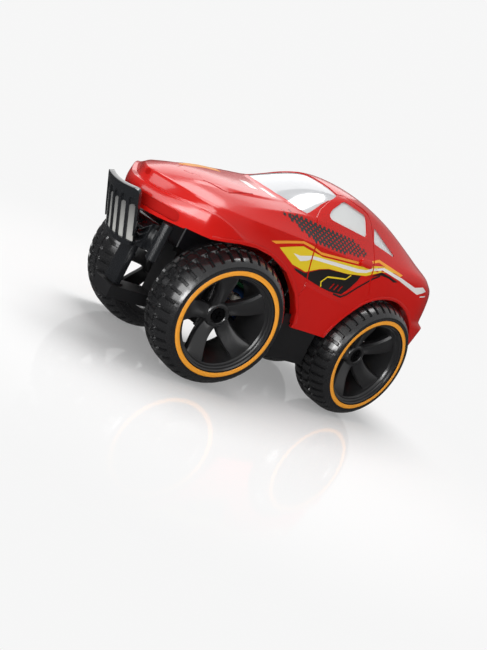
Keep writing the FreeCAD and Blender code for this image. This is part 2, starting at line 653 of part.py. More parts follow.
def battery_door():
    x0, x1, y0, y1 = BATTERY_BAY
    plate = box(x0 + 0.2, x1 - 0.2, y0 + 0.2, y1 - 0.2, FLOOR_Z, FLOOR_Z + FLOOR_T)
    grips = [box(x0 + 4.0 + 3.0 * k, x0 + 4.8 + 3.0 * k, -8.0, 8.0, FLOOR_Z - 1, FLOOR_Z + 0.5)
             for k in range(4)]
    tongue = box(x1 - 1.8, x1 + 1.0, 6.0, 11.0, FLOOR_Z + FLOOR_T, FLOOR_Z + FLOOR_T + 0.8)
    x, y = DOOR_SCREW
    hole = rod(0.9, (x, y, FLOOR_Z - 1), (x, y, FLOOR_Z + 2))
    sink = rod(1.5, (x, y, FLOOR_Z - 1), (x, y, FLOOR_Z + 0.8))
    return fuse([cut(plate, grips + [hole, sink])] + both_sides(tongue))


def battery_door_screw():
    x, y = DOOR_SCREW
    head = rod(1.4, (x, y, FLOOR_Z), (x, y, FLOOR_Z + 0.8))
    shank = rod(0.8, (x, y, FLOOR_Z + 0.8), (x, y, FLOOR_Z + 4.0))
    return cut(fuse([head, shank]), cross_from_below(x, y, FLOOR_Z + 0.4, 1.8))


def cross_from_below(x, y, top, length):
    """Cross recess of a screw whose head faces the ground."""
    half = length / 2.0
    return [box(x - half, x + half, y - 0.2, y + 0.2, FLOOR_Z - 1, top),
            box(x - 0.2, x + 0.2, y - half, y + half, FLOOR_Z - 1, top)]


def circuit_board():
    board = rounded_box(28.0, 48.0, -19.6, 19.6, 28.6, 29.8, 1.0, v(0, 0, 1))
    return board


def board_components():
    chip = box(34.0, 41.0, -4.0, 4.0, 29.8, 31.2)
    crystal = rounded_box(43.0, 46.4, -6.0, -1.0, 29.8, 32.4, 0.8, v(0, 0, 1))
    driver = box(31.0, 35.0, 8.0, 14.0, 29.8, 31.6)
    capacitors = [rod(2.0, (x, -13.0, 29.8), (x, -13.0, 36.0)) for x in (33.0, 39.0)]
    return [chip, crystal, driver] + capacitors


def antenna():
    """Fine spring antenna reduced to a slim rod standing on the board."""
    return fuse([rod(1.3, (44.0, 14.0, 29.8), (44.0, 14.0, 31.4)),
                 rod(0.6, (44.0, 14.0, 31.4), (44.0, 14.0, 52.0))])


def switch_body():
    z0 = FLOOR_Z + FLOOR_T
    case = box(SWITCH_X - 2.4, SWITCH_X + 2.4, -5.4, 5.4, z0, z0 + 3.6)
    track = box(SWITCH_X - 1.5, SWITCH_X + 1.5, -3.9, 3.9, z0 - 1, z0 + 2.0)
    return case.cut(track)


def switch_slider():
    y = -SWITCH_TRAVEL / 2.0
    z0 = FLOOR_Z + FLOOR_T
    foot = box(SWITCH_X - 1.4, SWITCH_X + 1.4, y - 1.8, y + 1.8, z0 + 0.1, z0 + 1.6)
    knob = box(SWITCH_X - 1.0, SWITCH_X + 1.0, y - 1.2, y + 1.2, FLOOR_Z - 1.0, z0 + 0.3)
    ridges = [box(SWITCH_X - 2, SWITCH_X + 2, y + o - 0.15, y + o + 0.15, FLOOR_Z - 2,
                  FLOOR_Z - 0.7) for o in (-0.6, 0.0, 0.6)]
    return cut(fuse([foot, knob]), ridges)


def charge_socket():
    z0 = FLOOR_Z + 2.4
    case = box(-28.9, -24.4, -2.0, 2.0, z0, z0 + 3.4)
    return case.cut(rod(1.1, (-29.5, 0, z0 + 1.7), (-25.4, 0, z0 + 1.7)))


def body_screw(x, y):
    head = rod(1.6, (x, y, FLOOR_Z + 0.6), (x, y, FLOOR_Z + 1.6))
    shank = rod(0.8, (x, y, FLOOR_Z + 1.6), (x, y, FLOOR_Z + 12.0))
    return cut(fuse([head, shank]), cross_from_below(x, y, FLOOR_Z + 1.0, 2.0))


# ---- export -------------------------------------------------------------------------
def place(shape):
    return moved(shape, PLACE_X, 0, 0)


def solids_of(shape):
    shapes = shape if isinstance(shape, list) else [shape]
    found = []
    for item in shapes:
        found += item.Solids
    return found


def export(name, shape):
    solids = [place(s) for s in solids_of(shape)]
    result = solids[0] if len(solids) == 1 else Part.makeCompound(solids)
    result.exportStep(os.path.join("parts", name + ".step"))


def build():
    os.makedirs("parts", exist_ok=True)
    parts = {
        "body_shell": body_shell(),
        "window_insert": window_insert(),
        "chassis_tray": chassis_tray(),
        "front_beam": front_beam(),
        "servo_bracket": servo_bracket(),
        "front_bulkhead": front_bulkhead(),
        "push_bar": push_bar(),
        "tie_rod": tie_rod(),
        "servo_horn": servo_horn(),
        "steering_servo": steering_servo(),
        "drive_motor": drive_motor(),
        "motor_shaft": motor_shaft(),
        "motor_pinion": motor_pinion(),
        "compound_gear": compound_gear(),
        "compound_shaft": compound_shaft(),
        "axle_gear": axle_gear(),
        "rear_axle": rear_axle(),
        "gearbox_cover": gearbox_cover(),
        "battery_pack": battery_pack(),
        "battery_door": battery_door(),
        "battery_door_screw": battery_door_screw(),
        "circuit_board": circuit_board(),
        "board_components": board_components(),
        "antenna": antenna(),
        "switch_body": switch_body(),
        "switch_slider": switch_slider(),
        "charge_socket": charge_socket(),
    }
    for side, name in ((1, "left"), (-1, "right")):
        parts["kingpin_" + name] = kingpin(side)
        parts["knuckle_" + name] = knuckle(side)
        parts["stub_axle_" + name] = stub_axle(side)
        parts["axle_bush_" + name] = axle_bush(side)
        parts["wheel_screw_rear_" + name] = wheel_screw(side)
    screw_names = ("body_screw_rear_left", "body_screw_rear_right", "body_screw_front")
    for name, (x, y) in zip(screw_names, BODY_BOSSES):
        parts[name] = body_screw(x, y)
    tyre_shape = tyre()
    stripe_shape = stripe()
    for front in (True, False):
        end = "front_" if front else "rear_"
        rim_shape = rim(RIM_BORE_FRONT, 11.4) if front else rim(AXLE_RADIUS, 17.4)
        for name in ("left", "right"):
            parts["tyre_" + end + name] = put_wheel(tyre_shape, name, front)
            parts["rim_" + end + name] = put_wheel(rim_shape, name, front)
            parts["stripe_" + end + name] = put_wheel(stripe_shape, name, front)
    for name, shape in parts.items():
        export(name, shape)


build()
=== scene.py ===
import json
import math
from contextlib import contextmanager

import bmesh
import bpy
import numpy as np
from mathutils import Matrix, Vector
from mathutils.bvhtree import BVHTree
from mathutils.geometry import delaunay_2d_cdt


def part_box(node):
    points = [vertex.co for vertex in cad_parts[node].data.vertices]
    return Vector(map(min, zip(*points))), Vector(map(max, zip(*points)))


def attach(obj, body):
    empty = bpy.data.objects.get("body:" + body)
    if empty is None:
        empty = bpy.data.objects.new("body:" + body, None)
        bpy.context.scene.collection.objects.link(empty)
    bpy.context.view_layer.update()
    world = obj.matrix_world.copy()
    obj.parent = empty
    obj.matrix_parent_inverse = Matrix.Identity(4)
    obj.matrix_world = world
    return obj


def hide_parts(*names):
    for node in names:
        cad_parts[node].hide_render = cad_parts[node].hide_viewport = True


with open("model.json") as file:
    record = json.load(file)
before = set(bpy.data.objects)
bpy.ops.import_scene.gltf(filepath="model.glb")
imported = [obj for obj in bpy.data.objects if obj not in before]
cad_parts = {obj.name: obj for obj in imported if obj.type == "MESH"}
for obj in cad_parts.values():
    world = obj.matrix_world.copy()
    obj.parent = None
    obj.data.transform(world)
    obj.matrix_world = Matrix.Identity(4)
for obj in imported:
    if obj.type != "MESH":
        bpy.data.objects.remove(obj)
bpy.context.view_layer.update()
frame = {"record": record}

# Drawing axes, millimetres: X forward from the rear axle, Y left of the centre plane,
# Z up from the ground.  The shared frame is the same, with X = 0 at mid-length.
MM = 0.001
AXLE_TO_MIDDLE = 44.0
WHEELBASE = 76.2
KINGPIN_Y = 13.5
STEER_REST = math.radians(-9.7)
WHEEL_RADIUS = 23.4
STRIPE_PLANE_Y = 28.8
CUT_TRIES = 8
CUT_NUDGE = Vector((0.011, 0.017, -0.013))
KEPT_SHARE = 0.7                # a cut that keeps a smaller share of the faces has failed


def place(x, y, z):
    return Vector(((x - AXLE_TO_MIDDLE) * MM, y * MM, z * MM))


def spaced(a, b, count):
    return [a + (b - a) * k / (count - 1) for k in range(count)]


def smooth(t):
    t = min(max(t, 0.0), 1.0)
    return t * t * (3 - 2 * t)


# ---- object helpers ----
def add_object(name, mesh):
    obj = bpy.data.objects.new(name, mesh)
    bpy.context.scene.collection.objects.link(obj)
    return obj


def raw_object(name, verts, faces):
    mesh = bpy.data.meshes.new(name)
    mesh.from_pydata([tuple(p) for p in verts], [], faces)
    mesh.update()
    return add_object(name, mesh)


@contextmanager
def editing(mesh):
    """Opens a mesh for editing and writes it back at the end of the block."""
    bm = bmesh.new()
    bm.from_mesh(mesh)
    yield bm
    bm.to_mesh(mesh)
    bm.free()


def closed_object(name, verts, faces):
    """Mesh object with its face normals turned outward."""
    made = raw_object(name, verts, faces)
    with editing(made.data) as bm:
        bmesh.ops.recalc_face_normals(bm, faces=bm.faces)
    return made


def quads(rings, size, closed=False):
    """Faces of a tube made of rings of points, each ring of the same size."""
    faces = []
    for k in range(rings if closed else rings - 1):
        m = (k + 1) % rings
        for i in range(size):
            j = (i + 1) % size
            faces.append((k * size + i, k * size + j, m * size + j, m * size + i))
    return faces


def capped(rings, size):
    """Faces of a tube of rings, with a face over each end."""
    last = (rings - 1) * size
    ends = [tuple(range(size)), tuple(last + n for n in range(size))]
    return quads(rings, size) + ends


def joined(name, objects):
    """One object from several, as separate closed shells."""
    bm = bmesh.new()
    for obj in objects:
        bm.from_mesh(obj.data)
        bpy.data.objects.remove(obj)
    mesh = bpy.data.meshes.new(name)
    bm.to_mesh(mesh)
    bm.free()
    return add_object(name, mesh)


def finish_piece(obj, look, angle, replaces=None, body="chassis"):
    """Gives a piece its material and smooth shading, and ties it to the CAD model."""
    set_look(obj, look)
    shade(obj, angle)
    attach(obj, body)
    if replaces:
        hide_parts(replaces)


def set_look(obj, look):
    obj.data.materials.clear()
    obj.data.materials.append(LOOKS[look])


def shade(obj, angle):
    """Smooth shading, with edges sharper than the angle in degrees left hard."""
    limit = math.radians(angle)
    with editing(obj.data) as bm:
        bmesh.ops.recalc_face_normals(bm, faces=bm.faces)
        for face in bm.faces:
            face.smooth = True
        for edge in bm.edges:
            edge.smooth = len(edge.link_faces) == 2 and edge.calc_face_angle(0.0) < limit


def apply_modifiers(obj):
    depsgraph = bpy.context.evaluated_depsgraph_get()
    mesh = bpy.data.meshes.new_from_object(obj.evaluated_get(depsgraph))
    old = obj.data
    obj.modifiers.clear()
    obj.data = mesh
    bpy.data.meshes.remove(old)


def boolean(obj, cutter, operation="DIFFERENCE"):
    """Exact cut.  When edges that coincide empty the result, nudges the cutter and retries."""
    whole = obj.data.copy()
    for _ in range(CUT_TRIES):
        mod = obj.modifiers.new("cut", "BOOLEAN")
        mod.operation = operation
        mod.solver = "EXACT"
        mod.object = cutter
        apply_modifiers(obj)
        if operation == "INTERSECT" or len(obj.data.polygons) > KEPT_SHARE * len(whole.polygons):
            break
        obj.data = whole.copy()
        cutter.data.transform(Matrix.Translation(CUT_NUDGE * MM))
    bpy.data.objects.remove(cutter)


def bevelled(obj, width):
    """Rounds every edge sharper than 50 degrees, by a width in millimetres."""
    mod = obj.modifiers.new("edge", "BEVEL")
    mod.width = width * MM
    mod.segments = 2
    mod.angle_limit = math.radians(50)
    apply_modifiers(obj)


# ---- materials ----
GRAIN_DEPTH = 0.00004           # metres


def set_inputs(made, values):
    for name, value in values.items():
        made.inputs[name].default_value = value


def new_material(name, values):
    mat = bpy.data.materials.new(name)
    mat.use_nodes = True
    nodes = mat.node_tree.nodes
    set_inputs(nodes["Principled BSDF"], values)
    return mat, nodes, nodes["Principled BSDF"]


def node(nodes, kind, values=None, **settings):
    made = nodes.new("ShaderNode" + kind)
    for key, value in settings.items():
        setattr(made, key, value)
    set_inputs(made, values or {})
    return made


def wire(source, output, target, socket):
    source.id_data.links.new(source.outputs[output], target.inputs[socket])


def noise(nodes, coords, scale, detail):
    made = node(nodes, "TexNoise", {"Scale": scale, "Detail": detail})
    wire(coords, "Object", made, "Vector")
    return made


def ramp(nodes, low, first, high, second):
    """Colour ramp from the first colour, at position low, to the second, at high."""
    made = nodes.new("ShaderNodeValToRGB")
    ends = made.color_ramp.elements
    for end, position, colour in zip(ends, (low, high), (first, second)):
        end.position = position
        end.color = (*colour, 1)
    return made


def plastic(name, colour, roughness, coat=0.0, grain=0.0, grain_scale=900.0, vary=0.06,
            metallic=0.0, coat_roughness=0.05, specular=0.5):
    """Moulded surface: slight colour and gloss variation, and a fine moulded grain."""
    mat, nodes, shader = new_material(name, {
        "Metallic": metallic, "Coat Weight": coat, "Coat Roughness": coat_roughness,
        "Specular IOR Level": specular})
    coords = node(nodes, "TexCoord")
    cloud = noise(nodes, coords, 60.0, 3.0)
    tint = ramp(nodes, 0.0, [c * (1 - vary) for c in colour],
                1.0, [min(1.0, c * (1 + vary)) for c in colour])
    wire(cloud, "Fac", tint, "Fac")
    wire(tint, "Color", shader, "Base Color")
    fine = noise(nodes, coords, grain_scale, 2.0)
    gloss = node(nodes, "MapRange",
                 {"To Min": roughness * 0.85, "To Max": roughness * 1.15})
    wire(fine, "Fac", gloss, "Value")
    wire(gloss, "Result", shader, "Roughness")
    if grain:
        bump = node(nodes, "Bump", {"Strength": grain, "Distance": GRAIN_DEPTH})
        wire(fine, "Fac", bump, "Height")
        wire(bump, "Normal", shader, "Normal")
    return mat


LOOKS = {}
for name, colour, roughness, more in (
        ("red_body", (0.60, 0.006, 0.003), 0.25,
         dict(coat=0.6, vary=0.04, coat_roughness=0.12, specular=0.2)),
        # dark_red is the own colour of the hash-mark print, and painted shade where it fills the
        # chin recess and the nose hole.
        ("dark_red", (0.42, 0.003, 0.001), 0.5, dict(vary=0.05, specular=0.1)),
        ("black_chassis", (0.012, 0.012, 0.013), 0.42,
         dict(grain=0.35, grain_scale=2600.0, vary=0.2)),
        ("rim_black", (0.020, 0.020, 0.021), 0.3,
         dict(coat=0.7, vary=0.04, coat_roughness=0.14)),
        ("tyre_rubber", (0.016, 0.016, 0.017), 0.26,
         dict(coat=0.9, grain=0.15, grain_scale=1500.0, vary=0.15, coat_roughness=0.16)),
        ("push_bar", (0.012, 0.013, 0.015), 0.24,
         dict(coat=1.0, vary=0.05, coat_roughness=0.12)),
        ("stripe_orange", (0.92, 0.36, 0.02), 0.35, dict(coat=0.3, vary=0.04)),
        ("print_yellow", (0.86, 0.62, 0.01), 0.3, dict(coat=0.6, vary=0.04)),
        ("print_white", (0.85, 0.82, 0.8), 0.3, dict(coat=0.6, vary=0.02)),
        ("print_black", (0.012, 0.01, 0.01), 0.3, dict(coat=0.6, vary=0.1)),
        ("nylon", (0.75, 0.72, 0.63), 0.4, dict(grain=0.2, vary=0.05)),
        ("servo_case", (0.02, 0.02, 0.024), 0.35, dict(grain=0.3, vary=0.15)),
        ("battery_wrap", (0.03, 0.10, 0.34), 0.3, dict(coat=0.3, vary=0.1)),
        ("circuit_green", (0.01, 0.16, 0.05), 0.35, dict(grain=0.3, vary=0.3)),
        ("switch_knob", (0.45, 0.45, 0.46), 0.4, dict(grain=0.2, vary=0.05)),
        ("steel", (0.62, 0.62, 0.64), 0.28,
         dict(metallic=1.0, grain=0.3, grain_scale=1800.0, vary=0.05)),
        ("dark_steel", (0.02, 0.02, 0.022), 0.4, dict(metallic=1.0, vary=0.1)),
        ("brass", (0.78, 0.57, 0.25), 0.3, dict(metallic=1.0, vary=0.06)),
        ("motor_can", (0.58, 0.58, 0.6), 0.34, dict(metallic=1.0, grain=0.2, vary=0.05))):
    LOOKS[name] = plastic(name, colour, roughness, **more)


def window_material():
    """Milky clear plastic under a hard gloss, with painted shade that makes it greyer where it
    faces up.
    """
    mat, nodes, shader = new_material("clear_window", {
        "Roughness": 0.12, "Coat Weight": 1.0, "Coat Roughness": 0.03,
        "Transmission Weight": 0.12})
    coords = node(nodes, "TexCoord")
    cloud = noise(nodes, coords, 28.0, 2.0)
    facing = node(nodes, "SeparateXYZ")
    wire(coords, "Normal", facing, "Vector")
    painted_shade_amount = node(nodes, "Math", operation="MULTIPLY_ADD")
    painted_shade_amount.inputs[1].default_value = 0.15
    wire(cloud, "Fac", painted_shade_amount, 0)
    wire(facing, "Z", painted_shade_amount, 2)
    # Painted shade: panes that face up turn grey, panes that face sideways stay near white.
    tint = ramp(nodes, 0.55, (0.95, 0.97, 0.96), 1.0, (0.56, 0.57, 0.59))
    wire(painted_shade_amount, "Value", tint, "Fac")
    wire(tint, "Color", shader, "Base Color")
    return mat


def slot_floor_material():
    """Floor of the push-bar slots: a painted grey reflection with painted shadow at the top, so
    it gets lighter toward the bottom.
    """
    mat, nodes, shader = new_material("slot_painted_reflection", {"Roughness": 0.35})
    coords = node(nodes, "TexCoord")
    parts = node(nodes, "SeparateXYZ")
    wire(coords, "Object", parts, "Vector")
    fade = node(nodes, "MapRange", {"From Min": 0.034, "From Max": 0.047})
    wire(parts, "Z", fade, "Value")
    # Painted shadow at the top of each slot, painted reflection below it.
    tint = ramp(nodes, 0.05, (0.42, 0.42, 0.40), 0.9, (0.10, 0.10, 0.10))
    wire(fade, "Result", tint, "Fac")
    wire(tint, "Color", shader, "Base Color")
    return mat


LOOKS["clear_window"] = window_material()
LOOKS["slot_painted_reflection"] = slot_floor_material()


# ---- body: control cage ----
# The cage is one half of the shell.  A belt strip of seven levels wraps round from the
# middle of the tail to the middle of the nose, and an upper patch hangs on its top level.
# A level is (how far in from the plan outline, height).
TAIL_PLAN = [(-34, 0), (-33.95, 4), (-33.7, 8), (-33.3, 11.5), (-32.7, 14.8), (-31.8, 18),
             (-30.1, 21.2), (-27.4, 23.6)]
NOSE_PLAN = [(102, 21.2), (104.7, 18.7), (107.5, 15.5), (109.8, 12.7), (111.9, 10),
             (113.7, 7), (115.4, 3.8), (116.3, 0)]
TAIL_CENTRE = [(2.6, 30.4), (0, 42), (4.8, 43.4), (5, 46.4), (5.2, 49.5), (6, 56),
               (7.2, 58.2)]
TAIL_CORNER = [(1.6, 30.4), (0, 42), (2.4, 43.4), (2.6, 46.2), (2.9, 49.4), (4, 55.6),
               (6, 57.6)]
NOSE_CORNER = [(0.7, 45.8), (0, 49.6), (0.4, 53.9), (1.6, 54.2), (2.5, 54.8), (3.4, 55.6),
               (4.2, 56.1)]
NOSE_CENTRE = [(0.9, 44.6), (0, 50), (0.9, 52.2), (2.4, 52.5), (2.8, 54), (3.1, 55.6),
               (3.4, 56.4)]
SIDE = {
    # x: (y of the outline, levels)
    -18: (25, [(1, 30), (0, 41.6), (0.8, 43.4), (0.8, 46.2), (0.9, 50), (1.4, 55.6),
               (1.6, 57.5)]),
    8: (24.7, [(0.6, 27), (0, 41), (0.2, 43.4), (0.4, 46.4), (0.2, 51), (0.8, 55.5),
               (0.6, 57.4)]),
    20: (24.6, [(0.8, 27), (0, 40.2), (0.3, 43.4), (0.6, 46.2), (0.6, 50.6), (0.6, 55.6),
                (0.2, 57.3)]),
    32: (24.5, [(1.6, 27), (0, 41), (0.5, 43), (0.7, 46), (0.7, 50.5), (0.4, 55.6),
                (0, 57.3)]),
    51: (24.6, [(1.6, 27), (0, 43), (0.4, 44.4), (0.6, 46.4), (0.7, 50.5), (0.4, 55.6),
                (0, 57.3)]),
    60: (24.8, [(0.6, 32), (0, 43.4), (0.2, 46.4), (0.6, 49), (0.9, 51.5), (0.8, 56),
                (0.3, 57.3)]),
    74: (25.1, [(0, 36), (0, 44), (0.1, 48), (0.6, 50.2), (1.2, 53), (1.2, 56.2),
                (0.6, 57.3)]),
    86.5: (25.2, [(0.2, 42), (0, 47), (0.1, 50), (0.7, 50.5), (1.4, 53.2), (1.9, 55.7),
                  (2.2, 56.7)]),
    94: (24.5, [(0.4, 45), (0, 48.6), (0.2, 52.8), (1.2, 53.2), (2.1, 54.4), (3, 55.7),
                (3.6, 56.5)]),
    100: (22.6, [(0.6, 46), (0, 49.4), (0.3, 53.9), (1.4, 54.2), (2.3, 54.9), (3.2, 55.7),
                 (4, 56.3)]),
}
# Upper patch, tail to nose: the seven points of each row from the shoulder to the middle.
ROWS = [
    (-18, [(-17.6, 22.4, 59.2), (-18.6, 20.4, 60.4), (-20.4, 17.2, 61), (-21.8, 13.6, 61.4),
           (-22.6, 9.5, 61.7), (-23, 5, 61.9), (-23.2, 0, 62)]),
    (-10, [(-11, 22.8, 60), (-11.5, 21, 61.2), (-13, 18, 61.9), (-14.5, 14.4, 63),
           (-15, 10.6, 64.5), (-15.2, 5.6, 65), (-15.2, 0, 65.1)]),
    (-2, [(-3.5, 22.6, 60.1), (-4, 20.6, 61.4), (-4.5, 17.6, 63.6), (-5, 13.8, 66.4),
          (-5, 10.8, 67.7), (-5, 6, 68.3), (-5, 0, 68.5)]),
    (8, [(6, 22, 60.2), (6, 20, 62.4), (6, 17.4, 65.2), (6, 13.4, 69.6), (6, 10.6, 71.3),
         (6, 6, 72), (6, 0, 72.3)]),
    (20, [(20, 21.6, 61), (20, 19.9, 63.6), (20, 17.6, 67), (20, 13.2, 72.6),
          (20, 10.4, 74.3), (20, 6, 75), (20, 0, 75.3)]),
    (32, [(31, 21.4, 61.6), (31, 19.8, 64.2), (31, 17.6, 68), (31, 13.4, 74.2),
          (31, 10.6, 75.6), (31, 6, 76.3), (31, 0, 76.6)]),
    (42, [(41, 21, 62.4), (41, 19.6, 64.6), (41, 17.3, 68.5), (41, 13.4, 73.6),
          (42, 10.6, 74.7), (43, 6, 75.4), (43.4, 0, 75.7)]),
    (51, [(50.5, 20.6, 62), (51, 19.4, 64.6), (51.6, 17.4, 67.2), (52.6, 14.2, 69),
          (54, 11, 69.7), (55.4, 6, 70.3), (56, 0, 70.5)]),
    (60, [(59, 20.4, 61), (59.6, 18.4, 64.2), (61.8, 15.8, 64.5), (63.8, 12.6, 64.7),
          (64.6, 11, 64.9), (65.8, 6, 65), (66.4, 0, 65.1)]),
    (74, [(74, 20.7, 60), (74, 18.6, 61.8), (74, 15.6, 62.5), (74, 12.6, 63),
          (74, 11.6, 63.5), (74, 6.3, 63.9), (74, 0, 64)]),
    (86.5, [(86, 20.8, 57.9), (86, 18.4, 59.1), (86, 15.4, 60.2), (86, 12.6, 61),
            (86, 11.4, 61.8), (86, 6, 62.5), (86, 0, 62.7)]),
    (94, [(94, 19.6, 57.2), (94, 17.2, 58), (94, 14, 59), (94, 10.4, 60),
          (94.2, 8.8, 60.8), (94.6, 4.6, 61.3), (95, 0, 61.5)]),
    (100, [(98.8, 16.8, 56.8), (100, 14, 57.4), (101.2, 11.4, 58),
           (102.4, 8.8, 58.5), (103.4, 6.6, 58.8), (104.3, 3.8, 59.1), (104.8, 0, 59.2)]),
]


def between(a, b, t):
    return [tuple(p + (q - p) * t for p, q in zip(u, w)) for u, w in zip(a, b)]


def side_station(x):
    """Plan point and levels at x, read between the drawn stations of the side."""
    def read(pick):
        return float(np.interp(x, list(SIDE), [pick(station) for station in SIDE.values()]))

    levels = [(read(lambda s: s[1][n][0]), read(lambda s: s[1][n][1])) for n in range(7)]
    return (x, read(lambda s: s[0])), levels


def belt_stations():
    """Plan point and levels of each station, from mid-tail round to mid-nose."""
    stations = []
    for x, y in TAIL_PLAN:
        stations.append(((x, y), between(TAIL_CENTRE, TAIL_CORNER, smooth((y - 10) / 13.6))))
    stations += [side_station(row[0]) for row in ROWS]
    for x, y in NOSE_PLAN:
        stations.append(((x, y), between(NOSE_CORNER, NOSE_CENTRE, smooth((22 - y) / 14))))
    return stations


def belt_crease(level, x):
    """How sharp the belt is along one level, 0 to 1."""
    if level == 1:
        return 0.9 if x < -24 else 0.75 if 16 < x < 56 else 0.0
    if level == 2:
        return 0.95 if x > 90 else 0.8 if x < -24 else 0.5 if x > 82 else 0.0
    if level == 3:
        return 0.8 if x > 82 else 0.4 if x < -24 else 0.0
    if level == 5:
        return 0.7 if x > 100 else 0.0
    if level == 6:
        return 0.9 if x > 100 else 0.8 if x > 50 else 0.35 if x > 15 else 0.2
    return 0.0


def row_crease(column, x):
    """Sharpness of the lines that run fore and aft over the upper patch."""
    if column == 2:
        return 0.75 if 45 < x < 97 else 0.5 if 0 < x <= 45 else 0.0
    if column in (4, 5):
        return 0.7 if 62 < x < 103 else 0.35 if column == 4 and 0 < x < 50 else 0.0
    return 0.0


def body_cage():
    stations = belt_stations()
    plan = [Vector(s[0]) for s in stations]
    verts, index, creases, faces = [], {}, {}, []

    def point(key, co):
        if key not in index:
            index[key] = len(verts)
            verts.append(co)
        return index[key]

    count = len(stations)
    belt = []
    for s, ((x, y), levels) in enumerate(stations):
        before = plan[s - 1] if s else Vector((plan[1].x, -plan[1].y))
        after = plan[s + 1] if s + 1 < count else Vector((plan[s - 1].x, -plan[s - 1].y))
        along = (after - before).normalized()
        inward = Vector((along.y, -along.x))
        belt.append([point(("belt", s, n), (x + inward.x * inset, y + inward.y * inset, z))
                     for n, (inset, z) in enumerate(levels)])
    tail = len(TAIL_PLAN)
    grid = [[belt[tail - 1 - c][6] for c in range(8)]]
    for r, (x, points) in enumerate(ROWS):
        grid.append([belt[tail + r][6]]
                    + [point(("row", r, c), p) for c, p in enumerate(points)])
    grid.append([belt[count - 8 + c][6] for c in range(8)])

    def sharpen(a, b, value):
        if value:
            creases[tuple(sorted((a, b)))] = value

    for s in range(count - 1):
        for n in range(6):
            faces.append((belt[s][n], belt[s][n + 1], belt[s + 1][n + 1], belt[s + 1][n]))
        for n in range(7):
            middle = (plan[s].x + plan[s + 1].x) / 2
            sharpen(belt[s][n], belt[s + 1][n], belt_crease(n, middle))
    for r in range(len(grid) - 1):
        for c in range(7):
            faces.append((grid[r][c], grid[r][c + 1], grid[r + 1][c + 1], grid[r + 1][c]))
        for c in range(1, 7):
            a, b = grid[r][c], grid[r + 1][c]
            sharpen(a, b, row_crease(c, (verts[a][0] + verts[b][0]) / 2))
    cowl = grid[[row[0] for row in ROWS].index(60) + 1]
    for c in range(2, 7):
        sharpen(cowl[c], cowl[c + 1], 0.85)
    return verts, faces, creases


def mirrored_mesh(verts, faces, creases):
    twin = {}
    whole = list(verts)
    for k, (x, y, z) in enumerate(verts):
        if abs(y) < 1e-6:
            twin[k] = k
        else:
            twin[k] = len(whole)
            whole.append((x, -y, z))
    faces = faces + [tuple(twin[k] for k in reversed(face)) for face in faces]
    both = dict(creases)
    both.update({tuple(sorted((twin[a], twin[b]))): w for (a, b), w in creases.items()})
    return whole, faces, both


def body_surface():
    """Outer surface of the shell, with no thickness yet."""
    verts, faces, creases = mirrored_mesh(*body_cage())
    skin = raw_object("skin", [place(*p) for p in verts], faces)
    with editing(skin.data) as bm:
        layer = bm.edges.layers.float.new("crease_edge")
        for edge in bm.edges:
            key = tuple(sorted(v.index for v in edge.verts))
            edge[layer] = creases.get(key, 0.0)
        bmesh.ops.recalc_face_normals(bm, faces=bm.faces)
    mod = skin.modifiers.new("smooth", "SUBSURF")
    mod.levels = 3
    mod.render_levels = 3
    apply_modifiers(skin)
    return skin


SKIN = body_surface()


def tree_of(obj):
    bm = bmesh.new()
    bm.from_mesh(obj.data)
    tree = BVHTree.FromBMesh(bm)
    bm.free()
    return tree


SKIN_TREE = tree_of(SKIN)


def cast(start, toward, nearby):
    """First point of the shell from start along a direction, and the normal facing back."""
    hit, normal, _, _ = SKIN_TREE.ray_cast(start, toward)
    if hit is None:
        hit, normal, _, _ = SKIN_TREE.find_nearest(nearby)
    return hit, normal if normal.dot(toward) < 0 else -normal


def on_side(x, z, side):
    return cast(place(x, side * 60, z), Vector((0, -side, 0)), place(x, side * 24, z))


def left_side(x, z):
    return on_side(x, z, 1)


def right_side(x, z):
    return on_side(x, z, -1)


def on_top(x, y):
    return cast(place(x, y, 120), Vector((0, 0, -1)), place(x, y, 60))


def on_front(y, z):
    return cast(place(160, y, z), Vector((-1, 0, 0)), place(116, y, z))


# ---- thin pieces laid on a surface ----
def inside(p, outline):
    hit = False
    for (ax, ay), (bx, by) in zip(outline, outline[1:] + outline[:1]):
        if (ay > p[1]) != (by > p[1]) and p[0] < ax + (p[1] - ay) * (bx - ax) / (by - ay):
            hit = not hit
    return hit


def slab(outline, surface, lift, depth, spacing=1.4):
    """Closed thin sheet over an outline, laid on a surface, from lift above to depth below."""
    edge = []
    for (ax, ay), (bx, by) in zip(outline, outline[1:] + outline[:1]):
        count = max(1, round(math.hypot(bx - ax, by - ay) / spacing))
        edge += [(ax + (bx - ax) * k / count, ay + (by - ay) * k / count)
                 for k in range(count)]
    low = [min(p[k] for p in edge) for k in range(2)]
    high = [max(p[k] for p in edge) for k in range(2)]
    fill = []
    for i in range(1, int((high[0] - low[0]) / spacing)):
        for j in range(1, int((high[1] - low[1]) / spacing)):
            p = (low[0] + (i + 0.5 * (j % 2)) * spacing, low[1] + j * spacing)
            clear = min(math.hypot(p[0] - q[0], p[1] - q[1]) for q in edge)
            if clear > spacing * 0.5 and inside(p, edge):
                fill.append(p)
    flat = [Vector(p) for p in edge + fill]
    points, _, triangles, *_ = delaunay_2d_cdt(flat, [], [list(range(len(edge)))], 1, 1e-5)
    upper, lower = [], []
    for p in points:
        at, normal = surface(p.x, p.y)
        upper.append(at + normal * lift * MM)
        lower.append(at - normal * depth * MM)
    count = len(points)
    faces = [tuple(t) for t in triangles]
    faces += [tuple(k + count for k in reversed(t)) for t in triangles]
    sides = [pair for a, b, c in triangles for pair in ((a, b), (b, c), (c, a))]
    shared = set(sides)
    faces += [(q, p, p + count, q + count) for p, q in sides if (q, p) not in shared]
    return closed_object("slab", upper + lower, faces)


